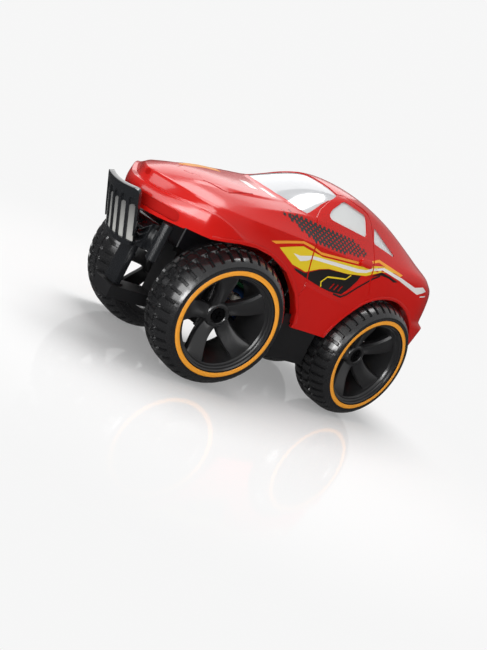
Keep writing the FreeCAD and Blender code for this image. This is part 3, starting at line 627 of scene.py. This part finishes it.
# ---- body: cut the shell ----
FRONT_ARCH = [(42.6, 20), (43.6, 28.3), (45.9, 32.8), (52.2, 39.1), (61.7, 45.2), (72, 48.4),
              (80.1, 49.2), (87.8, 48.6), (97.9, 46.4), (104.6, 46), (106, 43), (106, 20)]
REAR_ARCH_RADIUS = 25.2
SIDE_WINDOW = [(47.8, 67.2), (46.4, 69), (40.4, 73), (38.8, 73.2), (27.2, 71.9),
               (26.3, 71.2), (25.6, 66.2), (26.2, 65.5), (46.6, 66.3)]
QUARTER_WINDOW = [(20.6, 69.3), (19.8, 69.3), (6.4, 63.6), (6.6, 63), (20, 64.6),
                  (20.8, 65.2)]
WINDSCREEN = [(65.2, 0), (64.6, 6), (63, 11.5), (60.8, 15.6), (58.4, 17.3), (56.8, 16.8),
              (51, 14.4), (44.2, 12.2), (41.4, 10.6), (41.8, 6), (42.2, 0)]
BACK_WINDOW = [(-18.6, 0), (-18.2, 6), (-16.8, 10.2), (-15.4, 11), (-1.2, 9.6), (1.6, 8.6),
               (2.4, 5), (2.6, 0)]


def rounded(points, reach, steps=3):
    """Outline with each corner turned by a short curve."""
    out = []
    for k, corner in enumerate(points):
        corner = Vector(corner)
        before = Vector(points[k - 1]) - corner
        after = Vector(points[(k + 1) % len(points)]) - corner
        a = corner + before.normalized() * min(reach, before.length * 0.45)
        b = corner + after.normalized() * min(reach, after.length * 0.45)
        for n in range(steps + 1):
            t = n / steps
            p = a * (1 - t) ** 2 + corner * 2 * t * (1 - t) + b * t ** 2
            out.append((p.x, p.y))
    return out


def mirrored_outline(half):
    """Closed outline from a half that starts and ends on the centre line."""
    back = [(x, -y) for x, y in reversed(half) if abs(y) > 1e-6]
    return list(half) + back


def prism(name, outline, low, high, plane):
    """Closed prism over an outline in the "xz" side, "xy" plan or "yz" front plane, mm."""
    count = len(outline)
    lay = {"xz": lambda a, b, c: place(a, c, b), "yz": lambda a, b, c: place(c, a, b),
           "xy": place}[plane]
    verts = [lay(a, b, c) for c in (low, high) for a, b in outline]
    faces = [tuple(range(count)), tuple(reversed(range(count, 2 * count)))]
    faces += [(k, (k + 1) % count, count + (k + 1) % count, count + k) for k in range(count)]
    return closed_object(name, verts, faces)


def circle(x, z, radius, count=72):
    return [(x + radius * math.cos(2 * math.pi * k / count),
             z + radius * math.sin(2 * math.pi * k / count)) for k in range(count)]


def grown(outline, amount):
    """Outline pushed out from its middle by an amount, for panes wider than their hole."""
    middle = Vector((sum(p[0] for p in outline), sum(p[1] for p in outline))) / len(outline)
    out = []
    for p in outline:
        arm = Vector(p) - middle
        out.append(tuple(Vector(p) + arm.normalized() * amount))
    return out


def window_prisms(grow):
    side = rounded(grown(SIDE_WINDOW, grow), 0.9)
    quarter = rounded(grown(QUARTER_WINDOW, grow), 0.6)
    screen = grown(mirrored_outline(WINDSCREEN), grow)
    back = grown(mirrored_outline(BACK_WINDOW), grow)
    return [prism("w", side, 12, 30, "xz"), prism("w", side, -30, -12, "xz"),
            prism("w", quarter, 12, 30, "xz"), prism("w", quarter, -30, -12, "xz"),
            prism("w", screen, 60.5, 90, "xy"), prism("w", back, 59, 90, "xy")]


def patch_of(source, cutter, margin=3.0):
    """Part of a surface near a cutter, to keep the cutting quick."""
    low = Vector(map(min, zip(*[v.co for v in cutter.data.vertices])))
    high = Vector(map(max, zip(*[v.co for v in cutter.data.vertices])))
    gap = margin * MM
    mesh = source.data.copy()
    with editing(mesh) as bm:
        far = [f for f in bm.faces
               if any(not low[k] - gap < f.calc_center_median()[k] < high[k] + gap
                      for k in range(3))]
        bmesh.ops.delete(bm, geom=far, context="FACES")
    return add_object("patch", mesh)


def thickened(name, source, outward, thickness):
    """Closed sheet from a copy of a surface, its outer face moved by outward."""
    copy = add_object(name, source.data.copy())
    count = len(copy.data.vertices)
    flat = np.empty(count * 3, np.float32)
    copy.data.vertices.foreach_get("co", flat)
    normals = np.empty(count * 3, np.float32)
    copy.data.vertex_normals.foreach_get("vector", normals)
    copy.data.vertices.foreach_set("co", flat + normals * outward * MM)
    mod = copy.modifiers.new("wall", "SOLIDIFY")
    mod.thickness = thickness * MM
    mod.offset = -1.0
    mod.use_even_offset = False
    apply_modifiers(copy)
    return copy


SHELL_WALL = 1.2
shell = thickened("body_shell_detailed", SKIN, 0.0, SHELL_WALL)
CHIN = rounded([(-15.6, 45.9), (15.6, 45.9), (15.6, 49.3), (-15.6, 49.3)], 1.7, 4)
BADGE_HOLE = [(1.25 * math.cos(math.pi * (k + 0.4) / 8), 55.1 + math.sin(math.pi * (k + 0.4) / 8))
              for k in range(16)]
boolean(shell, prism("chin_cut", CHIN, 104, 124, "yz"))
arches = joined("arch_cut", [
    prism("a1", FRONT_ARCH, -40, 40, "xz"),
    prism("a2", circle(0, WHEEL_RADIUS, REAR_ARCH_RADIUS), -40, 40, "xz")])
boolean(shell, arches)
for opening in window_prisms(0.0):
    boolean(shell, opening)

sheets = []
for opening in window_prisms(0.6):
    near = patch_of(SKIN, opening)
    sheet = thickened("pane", near, -0.4, 0.7)
    bpy.data.objects.remove(near)
    boolean(sheet, opening, "INTERSECT")
    sheets.append(sheet)
panes = joined("windows_detailed", sheets)
finish_piece(panes, "clear_window", 30, "window_insert")


# ---- body: panel lines ----
def path_on(surface, points, step=0.8):
    """Points every step mm along a drawn line, each dropped on the shell."""
    out = []
    for (a, b), (c, d) in zip(points, points[1:]):
        count = max(1, int(math.hypot(c - a, d - b) / step))
        for k in range(count):
            t = k / count
            out.append(surface(a + (c - a) * t, b + (d - b) * t)[0])
    out.append(surface(*points[-1])[0])
    return out


def tube_along(name, path, radius, sides=8):
    """Round closed tube along a path of points in metres."""
    count = len(path)
    verts = []
    for k, p in enumerate(path):
        ahead = (path[min(k + 1, count - 1)] - path[max(k - 1, 0)]).normalized()
        across = ahead.cross(Vector((0.31, 0.83, 0.46))).normalized()
        lift = ahead.cross(across)
        for n in range(sides):
            turn = 2 * math.pi * n / sides
            verts.append(p + (across * math.cos(turn) + lift * math.sin(turn)) * radius * MM)
    return closed_object(name, verts, capped(count, sides))


DOOR_LINE = [(49.6, 27.6), (49.8, 44.6), (51.3, 48.6), (53.2, 53.5), (54.6, 57.2),
             (54, 61), (54.2, 64.9), (51.4, 68), (46.2, 71.8), (41.6, 74.1),
             (38, 74.7), (28.6, 73.6), (24.8, 72.6), (22.6, 70), (21.2, 65.1),
             (20.2, 60.4), (20.6, 57.8), (19.2, 54.1), (17.2, 50.4), (15.4, 47.4)]
BONNET_LINES = [
    [(101.5, 1.5), (96.2, 5.6)], [(97.6, 7.4), (90.6, 12)], [(90.2, 12.3), (79, 11.2)]]


def groove_tubes(radius):
    """Cutters along the door and bonnet lines of both sides."""
    tubes = []
    for surface, side in ((left_side, 1), (right_side, -1)):
        paths = [path_on(surface, DOOR_LINE)]
        paths += [path_on(on_top, [(x, side * y) for x, y in line]) for line in BONNET_LINES]
        tubes += [tube_along("groove", path, radius) for path in paths]
    return joined("groove_cut", tubes)


boolean(shell, groove_tubes(0.3))
finish_piece(shell, "red_body", 32, "body_shell")


# ---- printed graphics, drawn in side view (x, z) ----
ORANGE_LINES = [
    [(74.6, 53), (60.9, 56.9), (55.1, 56.5), (50.3, 55.6), (29.6, 57.4), (29.6, 56.6),
     (49.5, 54.8), (54.2, 55.6), (60.5, 56.1), (72.1, 52.7)],
    [(22.8, 58.9), (17.1, 60.5), (1.4, 58.7), (3, 57.8), (17.3, 59.6), (22.8, 58.1)]]
YELLOW_FLASH = [(69.7, 52), (59.6, 55.2), (48.3, 54.3), (29.6, 55.9), (23.6, 56.6),
                (20.8, 57.9), (14, 59), (6, 58.6), (14.8, 57), (19, 55.1),
                (22.1, 53.6), (31.8, 51.9), (42.2, 51.2), (46.7, 49.9), (52.5, 47.4),
                (60.5, 48.3)]
WHITE_FLASH = [(62.4, 51.9), (58.6, 51.9), (53.1, 53.4), (28, 55), (23.7, 55.6),
               (21, 57), (13.9, 58.6), (2, 57.6), (-8.6, 56.2), (-13.6, 57.4),
               (-17.2, 56.2), (-11.8, 54), (2.8, 56.5), (14.6, 57.7), (20.3, 56.2),
               (22.8, 54.7), (27.5, 53.6), (52.6, 52.3), (54.6, 51.1), (57.5, 50.2)]
TAIL_DASH = [(-14.6, 53.9), (-18.4, 54.6), (-18.2, 54.1), (-14.6, 53.4)]
BLACK_FLASH = [(59.2, 47.5), (52.3, 47), (46.6, 49.6), (42.1, 51), (31.8, 51.8),
               (24.4, 53), (25, 50.6), (26.8, 47.2), (29.4, 44.2), (36, 43.8),
               (41.8, 44.2), (50.4, 45.4), (57.4, 46.6)]
BLACK_TAIL = [(20.4, 53.5), (15, 56.9), (9.6, 56.6), (3.2, 55.7), (5.4, 55.1), (9.4, 55.8),
              (14.6, 55.8)]
OUTLINE_LINE = [(33.6, 43.5), (29.2, 43.3), (26.6, 44.8), (22.4, 49.1), (17.8, 53.4),
                (14.6, 55.5)]
CIRCUIT_LINE = [(41.6, 44.4), (42.6, 46), (40.6, 48.4), (31.2, 49.9), (29.6, 51.9)]
HASH_MARKS = [[(36.6 - 2.4 * k, 44.7 + 0.1 * k), (35.6 - 2.4 * k, 47.0 + 0.1 * k)]
              for k in range(3)]
LATTICE = [(71.4, 62.3), (63.5, 63.2), (55.7, 63.5), (47.8, 63.6), (39.5, 63.4),
           (30.8, 62.6), (24.4, 61.2), (24, 60.2), (31, 58.9), (38, 58.3),
           (53, 57.9), (56.8, 58.4), (60.3, 59.4), (66.2, 61.2)]
HANDLE = [(29, 58.1), (27.6, 58.9), (22.6, 59), (21.9, 57.2), (24.2, 56.4), (28.4, 56.6)]


def stroke(points, width):
    """Outline of a line of even width through the points."""
    left, right = [], []
    for k, p in enumerate(points):
        a, b = Vector(points[max(k - 1, 0)]), Vector(points[min(k + 1, len(points) - 1)])
        along = (b - a).normalized()
        across = Vector((-along.y, along.x)) * width / 2
        left.append(tuple(Vector(p) + across))
        right.append(tuple(Vector(p) - across))
    return left + right[::-1]


LATTICE_PITCH = Vector((2.3, 1.5))
# Each arm of a cross with the notch that follows it, going round.
CROSS_ARMS = [((1, 1), (0, 1)), ((-1, 1), (-1, 0)), ((-1, -1), (0, -1)), ((1, -1), (1, 0))]


def lattice_crosses():
    """Diamond lattice: a diagonal cross at each node, finer toward the door."""
    arm = LATTICE_PITCH * 0.245
    crosses = []
    for i in range(24):
        for j in range(8):
            x = 72 - LATTICE_PITCH.x * (i + 0.5 * (j % 2))
            z = 57.6 + LATTICE_PITCH.y * 0.5 * j
            if not inside((x, z), LATTICE):
                continue
            half = 0.34 - 0.14 * smooth((54 - x) / 30)
            points = []
            for (right, up), (notch_x, notch_z) in CROSS_ARMS:
                tip = Vector((x + right * arm.x, z + up * arm.y))
                side = Vector((up * arm.y, -right * arm.x)).normalized() * half
                points += [tuple(tip + side), tuple(tip - side),
                           (x + notch_x * half * 1.3, z + notch_z * half * 1.3)]
            crosses.append(points)
    return crosses


def laid_piece(name, outlines, surfaces, lift, look, depth=0.12, spacing=1.4, grooved=False):
    """One piece of thin sheets, over every outline on every surface."""
    made = joined(name, [slab(outline, surface, lift, depth, spacing)
                         for surface in surfaces for outline in outlines])
    if grooved:
        boolean(made, groove_tubes(0.36))
    finish_piece(made, look, 30)


BOTH_SIDES = (left_side, right_side)
for name, outlines, lift, look, grooved in (
        ("orange", ORANGE_LINES, 0.05, "stripe_orange", True),
        ("yellow", [YELLOW_FLASH], 0.05, "print_yellow", True),
        ("black", [BLACK_FLASH, BLACK_TAIL, stroke(OUTLINE_LINE, 0.7)], 0.06, "print_black",
         True),
        ("white", [WHITE_FLASH, TAIL_DASH], 0.09, "print_white", True),
        ("circuit", [stroke(CIRCUIT_LINE, 0.6)], 0.1, "print_yellow", False),
        ("hash", [stroke(line, 0.5) for line in HASH_MARKS], 0.1, "dark_red", False),
        ("lattice", lattice_crosses(), 0.05, "print_black", False)):
    laid_piece("print_" + name, outlines, BOTH_SIDES, lift, look, grooved=grooved)

handles = joined("door_handles", [slab(rounded(HANDLE, 0.7), surface, 0.9, 0.5, 0.8)
                                  for surface in BOTH_SIDES])
bevelled(handles, 0.25)
finish_piece(handles, "red_body", 40)


# ---- nose details ----
BONNET_STRIPE = [(99, -5.2), (93.5, -8.6), (86, -10.8), (78.5, -10.2), (79.5, -6.6),
                 (86.5, -6.6), (94, -4.8)]
BONNET_BLOCKS = [[(75.6, 5.4), (75.4, -1.2), (72.2, -1.4), (72.4, 5.8)],
                 [(69.2, 9.6), (69.6, 2.8), (67.6, 2.8), (67, 9.8)]]
# Painted shade: a dark red sheet lines the chin recess, and a dark red disc stands in for the
# badge hole.
laid_piece("chin_recess_painted_shade", [CHIN], [on_front], -0.5, "dark_red", depth=1.1, spacing=1.5)
laid_piece("nose_hole_painted_shade", [BADGE_HOLE], [on_front], 0.04, "dark_red", depth=0.2, spacing=0.6)
laid_piece("bonnet_stripe", [BONNET_STRIPE], [on_top], 0.05, "stripe_orange")
laid_piece("bonnet_blocks", BONNET_BLOCKS, [on_top], 0.05, "print_white")


# ---- wheel-arch lips ----
def arch_lip(path, centre, side):
    """Rounded flange that turns inward round an arch, swept along its edge."""
    profile = [(0.0, 0.1), (0.35, 0.32), (0.8, 0.36), (1.2, 0.2), (1.3, -0.2), (1.1, -0.8),
               (1.0, -3.4), (0.1, -3.4), (0.0, -2.6)]
    verts = []
    for k, (x, z) in enumerate(path):
        a, b = path[max(k - 1, 0)], path[min(k + 1, len(path) - 1)]
        along = Vector((b[0] - a[0], b[1] - a[1])).normalized()
        out = Vector((-along.y, along.x))
        if out.dot(Vector((x - centre[0], z - centre[1]))) < 0:
            out = -out
        edge, _ = on_side(x + out.x * 0.9, z + out.y * 0.9, side)
        edge_y = edge.y / MM
        for grow, push in profile:
            verts.append(place(x + out.x * grow, edge_y + side * push, z + out.y * grow))
    return raw_object("lip", verts, capped(len(path), len(profile)))


def curve_through(points, per_span=6):
    """Smooth curve through drawn points."""
    ends = [points[0]] + list(points) + [points[-1]]
    out = []
    for a, b, c, d in zip(ends, ends[1:], ends[2:], ends[3:]):
        a, b, c, d = map(Vector, (a, b, c, d))
        for k in range(per_span):
            t = k / per_span
            p = 0.5 * (2 * b + (c - a) * t + (2 * a - 5 * b + 4 * c - d) * t ** 2
                       + (3 * b - a - 3 * c + d) * t ** 3)
            out.append((p.x, p.y))
    return out + [tuple(points[-1])]


front_path = curve_through(FRONT_ARCH[1:9])
rear_path = [(REAR_ARCH_RADIUS * math.cos(a), WHEEL_RADIUS + REAR_ARCH_RADIUS * math.sin(a))
             for a in spaced(math.radians(9), math.radians(163), 44)]
lips = joined("arch_lips", [arch_lip(path, centre, side)
                            for side in (1, -1)
                            for path, centre in ((front_path, (WHEELBASE, WHEEL_RADIUS)),
                                                 (rear_path, (0, WHEEL_RADIUS)))])
finish_piece(lips, "red_body", 50)


# ---- wheels ----
# A wheel is drawn on the Y axis, outer face toward +Y, y = 0 in the plane of the stripe.
LUGS = 40
SPOKES = 5
SPOKE_TURN = math.radians(-5)
LUG_DEPTH = 1.0
LUG_FOOT = 21.2                 # radius where the grooves between lugs begin
# Each lug pitch has eight steps: block, wall, groove, wall, once for each shoulder.
LUG_STEPS = (0.0, 0.06, 0.30, 0.36, 0.5, 0.56, 0.80, 0.86)
OUTER_GROOVE = (1, 2)
INNER_GROOVE = (5, 6)
TYRE_HALF = [(0.42, 17.1), (0.42, 17.15), (0.0, 17.18), (0.0, 18.82), (0.42, 18.88),
             (0.42, 19.3), (0.2, 19.9), (0.28, 20.15), (0.1, 20.4), (-0.35, 20.9),
             (-0.9, 21.45), (-1.7, 22.0), (-2.8, 22.6), (-4.2, 23.1), (-5.6, 23.35),
             (-6.3, 23.38), (-6.5, 22.7), (-7.1, 22.7), (-7.3, 23.4), (-9.0, 23.4)]
TYRE_WIDTH = 18.0
RIM_SECTION = [(0.0, 16.9), (-0.25, 16.35), (-0.9, 16.15), (-1.15, 15.75), (-1.9, 15.6),
               (-2.3, 15.2), (-4.4, 15.0), (-5.2, 14.9), (-12.5, 14.7), (-17.6, 15.3),
               (-17.9, 15.9), (-17.9, 16.95), (-9.0, 17.0)]
HUB_SECTION = [(-8.7, 0.05), (-8.7, 2.7), (-6.9, 2.75), (-6.65, 3.0), (-6.6, 3.5),
               (-6.8, 4.1), (-7.3, 4.55), (-7.9, 4.7), (-10.2, 4.7), (-10.9, 4.2),
               (-11.3, 3.4), (-11.3, 0.05)]
RING_SECTION = [(0.02, 17.18), (0.3, 17.2), (0.42, 17.4), (0.46, 18.0), (0.42, 18.6),
                (0.3, 18.8), (0.02, 18.82)]


def spin(section, count):
    """Mesh from a section of (y, radius) turned about the Y axis."""
    verts = []
    for k in range(count):
        angle = 2 * math.pi * k / count
        verts += [(r * math.cos(angle), y, r * math.sin(angle)) for y, r in section]
    return verts, quads(count, len(section), closed=True)


def tyre_mesh():
    """Tyre with side lugs, the two shoulders half a pitch apart, and a shallow middle."""
    section = TYRE_HALF + [(-TYRE_WIDTH - y + 0.2, r) for y, r in TYRE_HALF[-2:4:-1]]
    section += [(-TYRE_WIDTH, 18.6), (-TYRE_WIDTH, 17.1)]
    verts = []
    for lug in range(LUGS):
        for step, part in enumerate(LUG_STEPS):
            angle = 2 * math.pi * (lug + part) / LUGS
            for y, r in section:
                outer = smooth((-0.7 - y) / 1.2) if y > -7 else 0.0
                inner = smooth((y + TYRE_WIDTH - 0.06) / 0.7) if y < -11 else 0.0
                middle = 0.75 if -11 <= y <= -7 and r > 23 else 0.0
                if r > LUG_FOOT and step in OUTER_GROOVE:
                    r = r - LUG_DEPTH * outer
                elif r > LUG_FOOT and step in INNER_GROOVE:
                    r = r - LUG_DEPTH * max(inner, middle)
                verts.append((r * math.cos(angle), y, r * math.sin(angle)))
    return verts, quads(LUGS * len(LUG_STEPS), len(section), closed=True)


def spoke_mesh(turn):
    """Broad twisted blade: one edge stands proud and rolls over, the other is thin."""
    verts = []
    stations = spaced(0.0, 1.0, 12)
    for t in stations:
        r = 3.6 + 11.9 * t
        face = -7.3 + 4.3 * smooth(t * 0.85 + 0.05) + 0.2 * t
        half = 2.5 + 0.5 * t + 1.0 * t * t
        sweep = 0.9 * math.sin(math.pi * t)
        lean = 0.9 - 0.4 * t
        section = [(-half, -2.6), (-half - 0.15, -0.7), (-half + 0.45, -0.12 + lean * 0.5),
                   (-half + 1.3, lean * 0.62), (0.0, lean * 0.2), (half - 1.0, -lean * 0.35),
                   (half - 0.25, -0.25 - lean * 0.4), (half + 0.1, -0.9 - lean * 0.4),
                   (half, -2.6), (0.0, -3.0)]
        for across, up in section:
            x = r * math.cos(turn) - (across + sweep) * math.sin(turn)
            z = r * math.sin(turn) + (across + sweep) * math.cos(turn)
            verts.append((x, face + up, z))
    return verts, capped(len(stations), len(section))


def put_wheel(name, meshes, side, front, look, angle, replaces):
    """Moves wheel meshes from the drawing axis to their corner of the car."""
    turn = Matrix.Rotation(STEER_REST, 4, "Z")
    verts, faces = [], []
    for mesh_verts, mesh_faces in meshes:
        base = len(verts)
        for x, y, z in mesh_verts:
            p = Vector((x, (y + STRIPE_PLANE_Y) * side, z + WHEEL_RADIUS))
            if front:
                pivot = Vector((0, side * KINGPIN_Y, 0))
                p = turn @ (p - pivot) + pivot + Vector((WHEELBASE, 0, 0))
            verts.append(place(*p))
        faces += [tuple(base + k for k in f) for f in mesh_faces]
    body = f"wheel_front_{'left' if side > 0 else 'right'}" if front else "rear_axle"
    finish_piece(raw_object(name, verts, faces), look, angle, replaces, body)


RIM = [spin(RIM_SECTION, 96), spin(HUB_SECTION, 40)]
RIM += [spoke_mesh(SPOKE_TURN + 2 * math.pi * k / SPOKES) for k in range(SPOKES)]
WHEEL_PARTS = [("tyre", "treaded", [tyre_mesh()], "tyre_rubber", 38),
               ("rim", "detailed", RIM, "rim_black", 34),
               ("stripe", "rounded", [spin(RING_SECTION, 128)], "stripe_orange", 40)]
for front in (True, False):
    for side in (1, -1):
        where = f"{'front' if front else 'rear'}_{'left' if side > 0 else 'right'}"
        for part, finish, meshes, look, angle in WHEEL_PARTS:
            put_wheel(f"{part}_{where}_{finish}", meshes, side, front, look, angle,
                      f"{part}_{where}")


# ---- push bar ----
BAR_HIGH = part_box("push_bar")[1]
BAR_RAKE = math.radians(25)
BAR_BULGE = 2.2
BAR_HALF = 9.0
BAR_HEIGHT = 19.4
BAR_PITCH = 3.45
BAR_TOP_Z = BAR_HIGH.z / MM - 0.95
BAR_FRONT_X = BAR_HIGH.x / MM + AXLE_TO_MIDDLE - 0.05


def on_bar(y, down):
    """Point on the curved front of the plate, and the outward normal."""
    back = BAR_BULGE * (y / BAR_HALF) ** 2
    slope = 2 * BAR_BULGE * y / BAR_HALF ** 2
    c, s = math.cos(BAR_RAKE), math.sin(BAR_RAKE)
    at = place(BAR_FRONT_X - back * c - down * s, y, BAR_TOP_Z + back * s - down * c)
    flat = Vector((1, slope, 0)).normalized()
    return at, Vector((flat.x * c, flat.y, -flat.x * s)).normalized()


def bar_slot(k, grow=0.0, top=4.3):
    y = k * BAR_PITCH
    half = 1.24 + grow
    arc = [(y + half * math.cos(a), top - half * math.sin(a))
           for a in spaced(0, math.pi, 9)]
    return arc + [(y - half, 17.6 + grow), (y + half, 17.6 + grow)]


BAR_OUTLINE = rounded([(-9.0, 0.0), (9.0, 0.0), (8.8, 12.0), (7.4, BAR_HEIGHT),
                       (-7.4, BAR_HEIGHT), (-8.8, 12.0)], 1.7, 4)
plate = slab(BAR_OUTLINE, on_bar, 0.0, 1.6, 1.0)
boolean(plate, joined("bar_cut", [slab(bar_slot(k), on_bar, 0.8, 0.75, 0.9)
                                  for k in range(-2, 3)]))
stem = prism("stem", [(111.5, 33.8), (111.5, 38.4), (115.3, 38.4), (113.2, 33.8)], -4, 4, "xz")
bar = joined("push_bar_slotted", [plate, stem])
bevelled(bar, 0.18)
finish_piece(bar, "push_bar", 34, "push_bar")
# The grey slot floors carry the painted reflection and painted shadow of the slots.
floors = joined("push_bar_slot_floors", [
    slab(bar_slot(k, -0.12, 6.6), on_bar, -0.45, 0.85, 1.2) for k in range(-2, 3)])
finish_piece(floors, "slot_painted_reflection", 34)


# ---- chassis nose ----
def round_bar(name, x, y, low, high, radius, sides=28):
    """Upright round post with rounded ends."""
    section = [(low, 0.05), (low, radius - 0.4), (low + 0.4, radius), (high - 0.6, radius),
               (high - 0.15, radius - 0.35), (high, radius - 0.8), (high, 0.05)]
    verts = []
    for k in range(sides):
        turn = 2 * math.pi * k / sides
        verts += [place(x + r * math.cos(turn), y + r * math.sin(turn), z)
                  for z, r in section]
    return raw_object(name, verts, quads(sides, len(section), closed=True))


nose_parts = [
    prism("column", [(104.7, 18.2), (107.2, 18.2), (107.2, 33.6), (104.7, 33.6)], -3, 3, "xz"),
    prism("plate", [(104.7, 33), (108.2, 33), (108.8, 34), (108.8, 41), (108, 42),
                    (104.7, 42)], -8, 8, "xz"),
    prism("seat", [(108.2, 34), (111.3, 34), (111.3, 38.4), (108.2, 38.4)], -4, 4, "xz")]
for side in (1, -1):
    for z in (34.6, 37.0, 39.4):
        louvre = [(108.6, z + 1.1), (110.9, z - 0.5), (110.9, z + 0.1), (108.6, z + 1.9)]
        nose_parts.append(prism("louvre", louvre, *sorted((side * 4.4, side * 7.6)), "xz"))
    web = [(105.4, 33.6), (107.0, 33.6), (107.0, 40.6), (105.4, 40.6)]
    nose_parts.append(round_bar("post", 106.3, side * 12.2, 31.5, 44.6, 1.9))
    nose_parts.append(prism("web", web, *sorted((side * 7.8, side * 11.0)), "xz"))
nose = joined("front_bulkhead_detailed", nose_parts)
bevelled(nose, 0.2)
finish_piece(nose, "push_bar", 34, "front_bulkhead")


# ---- CAD nodes that keep their own shape ----
SHARED_LOOK = {"components": "servo_case", "antenna_sleeve": "tyre_rubber"}
for part in frame["record"]["subparts"]:
    obj = bpy.data.objects.get(part["node"])
    if obj is None or obj.hide_render:
        continue
    look = SHARED_LOOK.get(part["material_slot"], part["material_slot"])
    # Painted shade: screws and stub axles get near-black steel so the hub centre reads as a dark
    # hole.
    if obj.name.startswith(("stub_axle", "wheel_screw")):
        look = "dark_steel"
    set_look(obj, look)


# ---- camera, floor and light ----
CAMERA_AT = Vector((0.27969, 0.25173, 0.09198))
CAMERA_FORWARD = Vector((-0.73358, -0.65074, -0.19596))
CAMERA_UP = Vector((0.18981, -0.47306, 0.86034))


def make_camera():
    data = bpy.data.cameras.new("camera")
    data.lens = 58.65
    data.sensor_width = 36.0
    data.clip_start = 0.01
    data.clip_end = 50.0
    camera = add_object("camera", data)
    back = -CAMERA_FORWARD.normalized()
    right = CAMERA_UP.cross(back).normalized()
    up = back.cross(right)
    turn = Matrix((right, up, back)).transposed()
    camera.matrix_world = Matrix.Translation(CAMERA_AT) @ turn.to_4x4()
    bpy.context.scene.camera = camera


def area_light(name, where, aim, size, power, lit=True):
    """Soft rectangular panel.  One that is not lit shows only in reflections."""
    data = bpy.data.lights.new(name, "AREA")
    data.shape = "RECTANGLE"
    data.size, data.size_y = size
    data.energy = power
    light = add_object(name, data)
    light.location = where
    light.rotation_mode = "QUATERNION"
    light.rotation_quaternion = (Vector(where) - Vector(aim)).to_track_quat("Z", "Y")
    light.visible_camera = False
    light.visible_diffuse = lit
    return light


BACKDROP = 0.925                # brightness of the backdrop
FLOOR_LIFT = 0.25               # glow added to the floor near the car
FLOOR_REACH = 12.0


def grey(level):
    return (level, level, level, 1)


def make_floor():
    """Pale, faintly glossy floor that fades into the backdrop away from the car."""
    floor = raw_object("floor", [(x * FLOOR_REACH, y * FLOOR_REACH, 0) for x, y in
                                 ((-1, -1), (1, -1), (1, 1), (-1, 1))], [(0, 1, 2, 3)])
    mat, nodes, shader = new_material("floor", {
        "Base Color": grey(0.93), "Roughness": 0.06, "Specular IOR Level": 0.5})
    glow = node(nodes, "Emission", {"Color": grey(BACKDROP), "Strength": 1.0})
    lift = node(nodes, "Emission", {"Color": grey(FLOOR_LIFT), "Strength": 1.0})
    near = node(nodes, "AddShader")
    mix = node(nodes, "MixShader")
    coords = node(nodes, "TexCoord")
    length = node(nodes, "VectorMath", operation="LENGTH")
    wire(coords, "Object", length, 0)
    fade = node(nodes, "MapRange", {"From Min": 0.06, "From Max": 0.17},
                interpolation_type="SMOOTHSTEP")
    wire(length, "Value", fade, "Value")
    wire(fade, "Result", mix, "Fac")
    wire(shader, "BSDF", near, 0)
    wire(lift, "Emission", near, 1)
    wire(near, "Shader", mix, 1)
    wire(glow, "Emission", mix, 2)
    wire(mix, "Shader", nodes["Material Output"], "Surface")
    floor.data.materials.append(mat)
    floor.visible_glossy = False
    return floor


def make_world():
    """Even backdrop for the camera, and a room that is brighter overhead for the light."""
    world = bpy.data.worlds.new("studio")
    bpy.context.scene.world = world
    world.use_nodes = True
    nodes = world.node_tree.nodes
    seen = nodes["Background"]
    set_inputs(seen, {"Color": grey(BACKDROP), "Strength": 1.0})
    room = node(nodes, "Background", {"Color": grey(1.0)})
    coords = node(nodes, "TexCoord")
    parts = node(nodes, "SeparateXYZ")
    wire(coords, "Generated", parts, "Vector")
    rise = node(nodes, "MapRange",
                {"From Min": -0.1, "From Max": 0.45, "To Min": 0.05, "To Max": 0.45},
                interpolation_type="SMOOTHSTEP")
    wire(parts, "Z", rise, "Value")
    wire(rise, "Result", room, "Strength")
    path = node(nodes, "LightPath")
    mix = node(nodes, "MixShader")
    wire(path, "Is Camera Ray", mix, "Fac")
    wire(room, "Background", mix, 1)
    wire(seen, "Background", mix, 2)
    wire(mix, "Shader", nodes["World Output"], "Surface")


make_camera()
floor = make_floor()
make_world()
area_light("key", (-0.04, -0.18, 0.75), (0.02, 0, 0.03), (0.5, 0.5), 3.9)
panels = [area_light("front", (0.66, 0.16, 0.13), (0.05, 0, 0.05), (0.6, 0.35), 2.8),
          area_light("side", (0.22, 0.75, 0.26), (0, 0, 0.04), (0.6, 0.25), 0.5),
          area_light("low_card", (0.42, 0.37, 0.06), (0.06, 0.01, 0.05), (0.3, 0.11), 1.2,
                     lit=False),
          area_light("far_card", (-0.3, -0.5, 0.42), (0.02, 0, 0.05), (0.6, 0.4), 0.9,
                     lit=False)]
# The panels shine on the car alone, so that they leave no bright shapes on the floor.
off_floor = bpy.data.collections.new("off_floor")
off_floor.objects.link(floor)
off_floor.collection_objects[0].light_linking.link_state = "EXCLUDE"
for panel in panels:
    panel.light_linking.receiver_collection = off_floor
bpy.context.scene.view_settings.view_transform = "Standard"
bpy.data.objects.remove(SKIN)
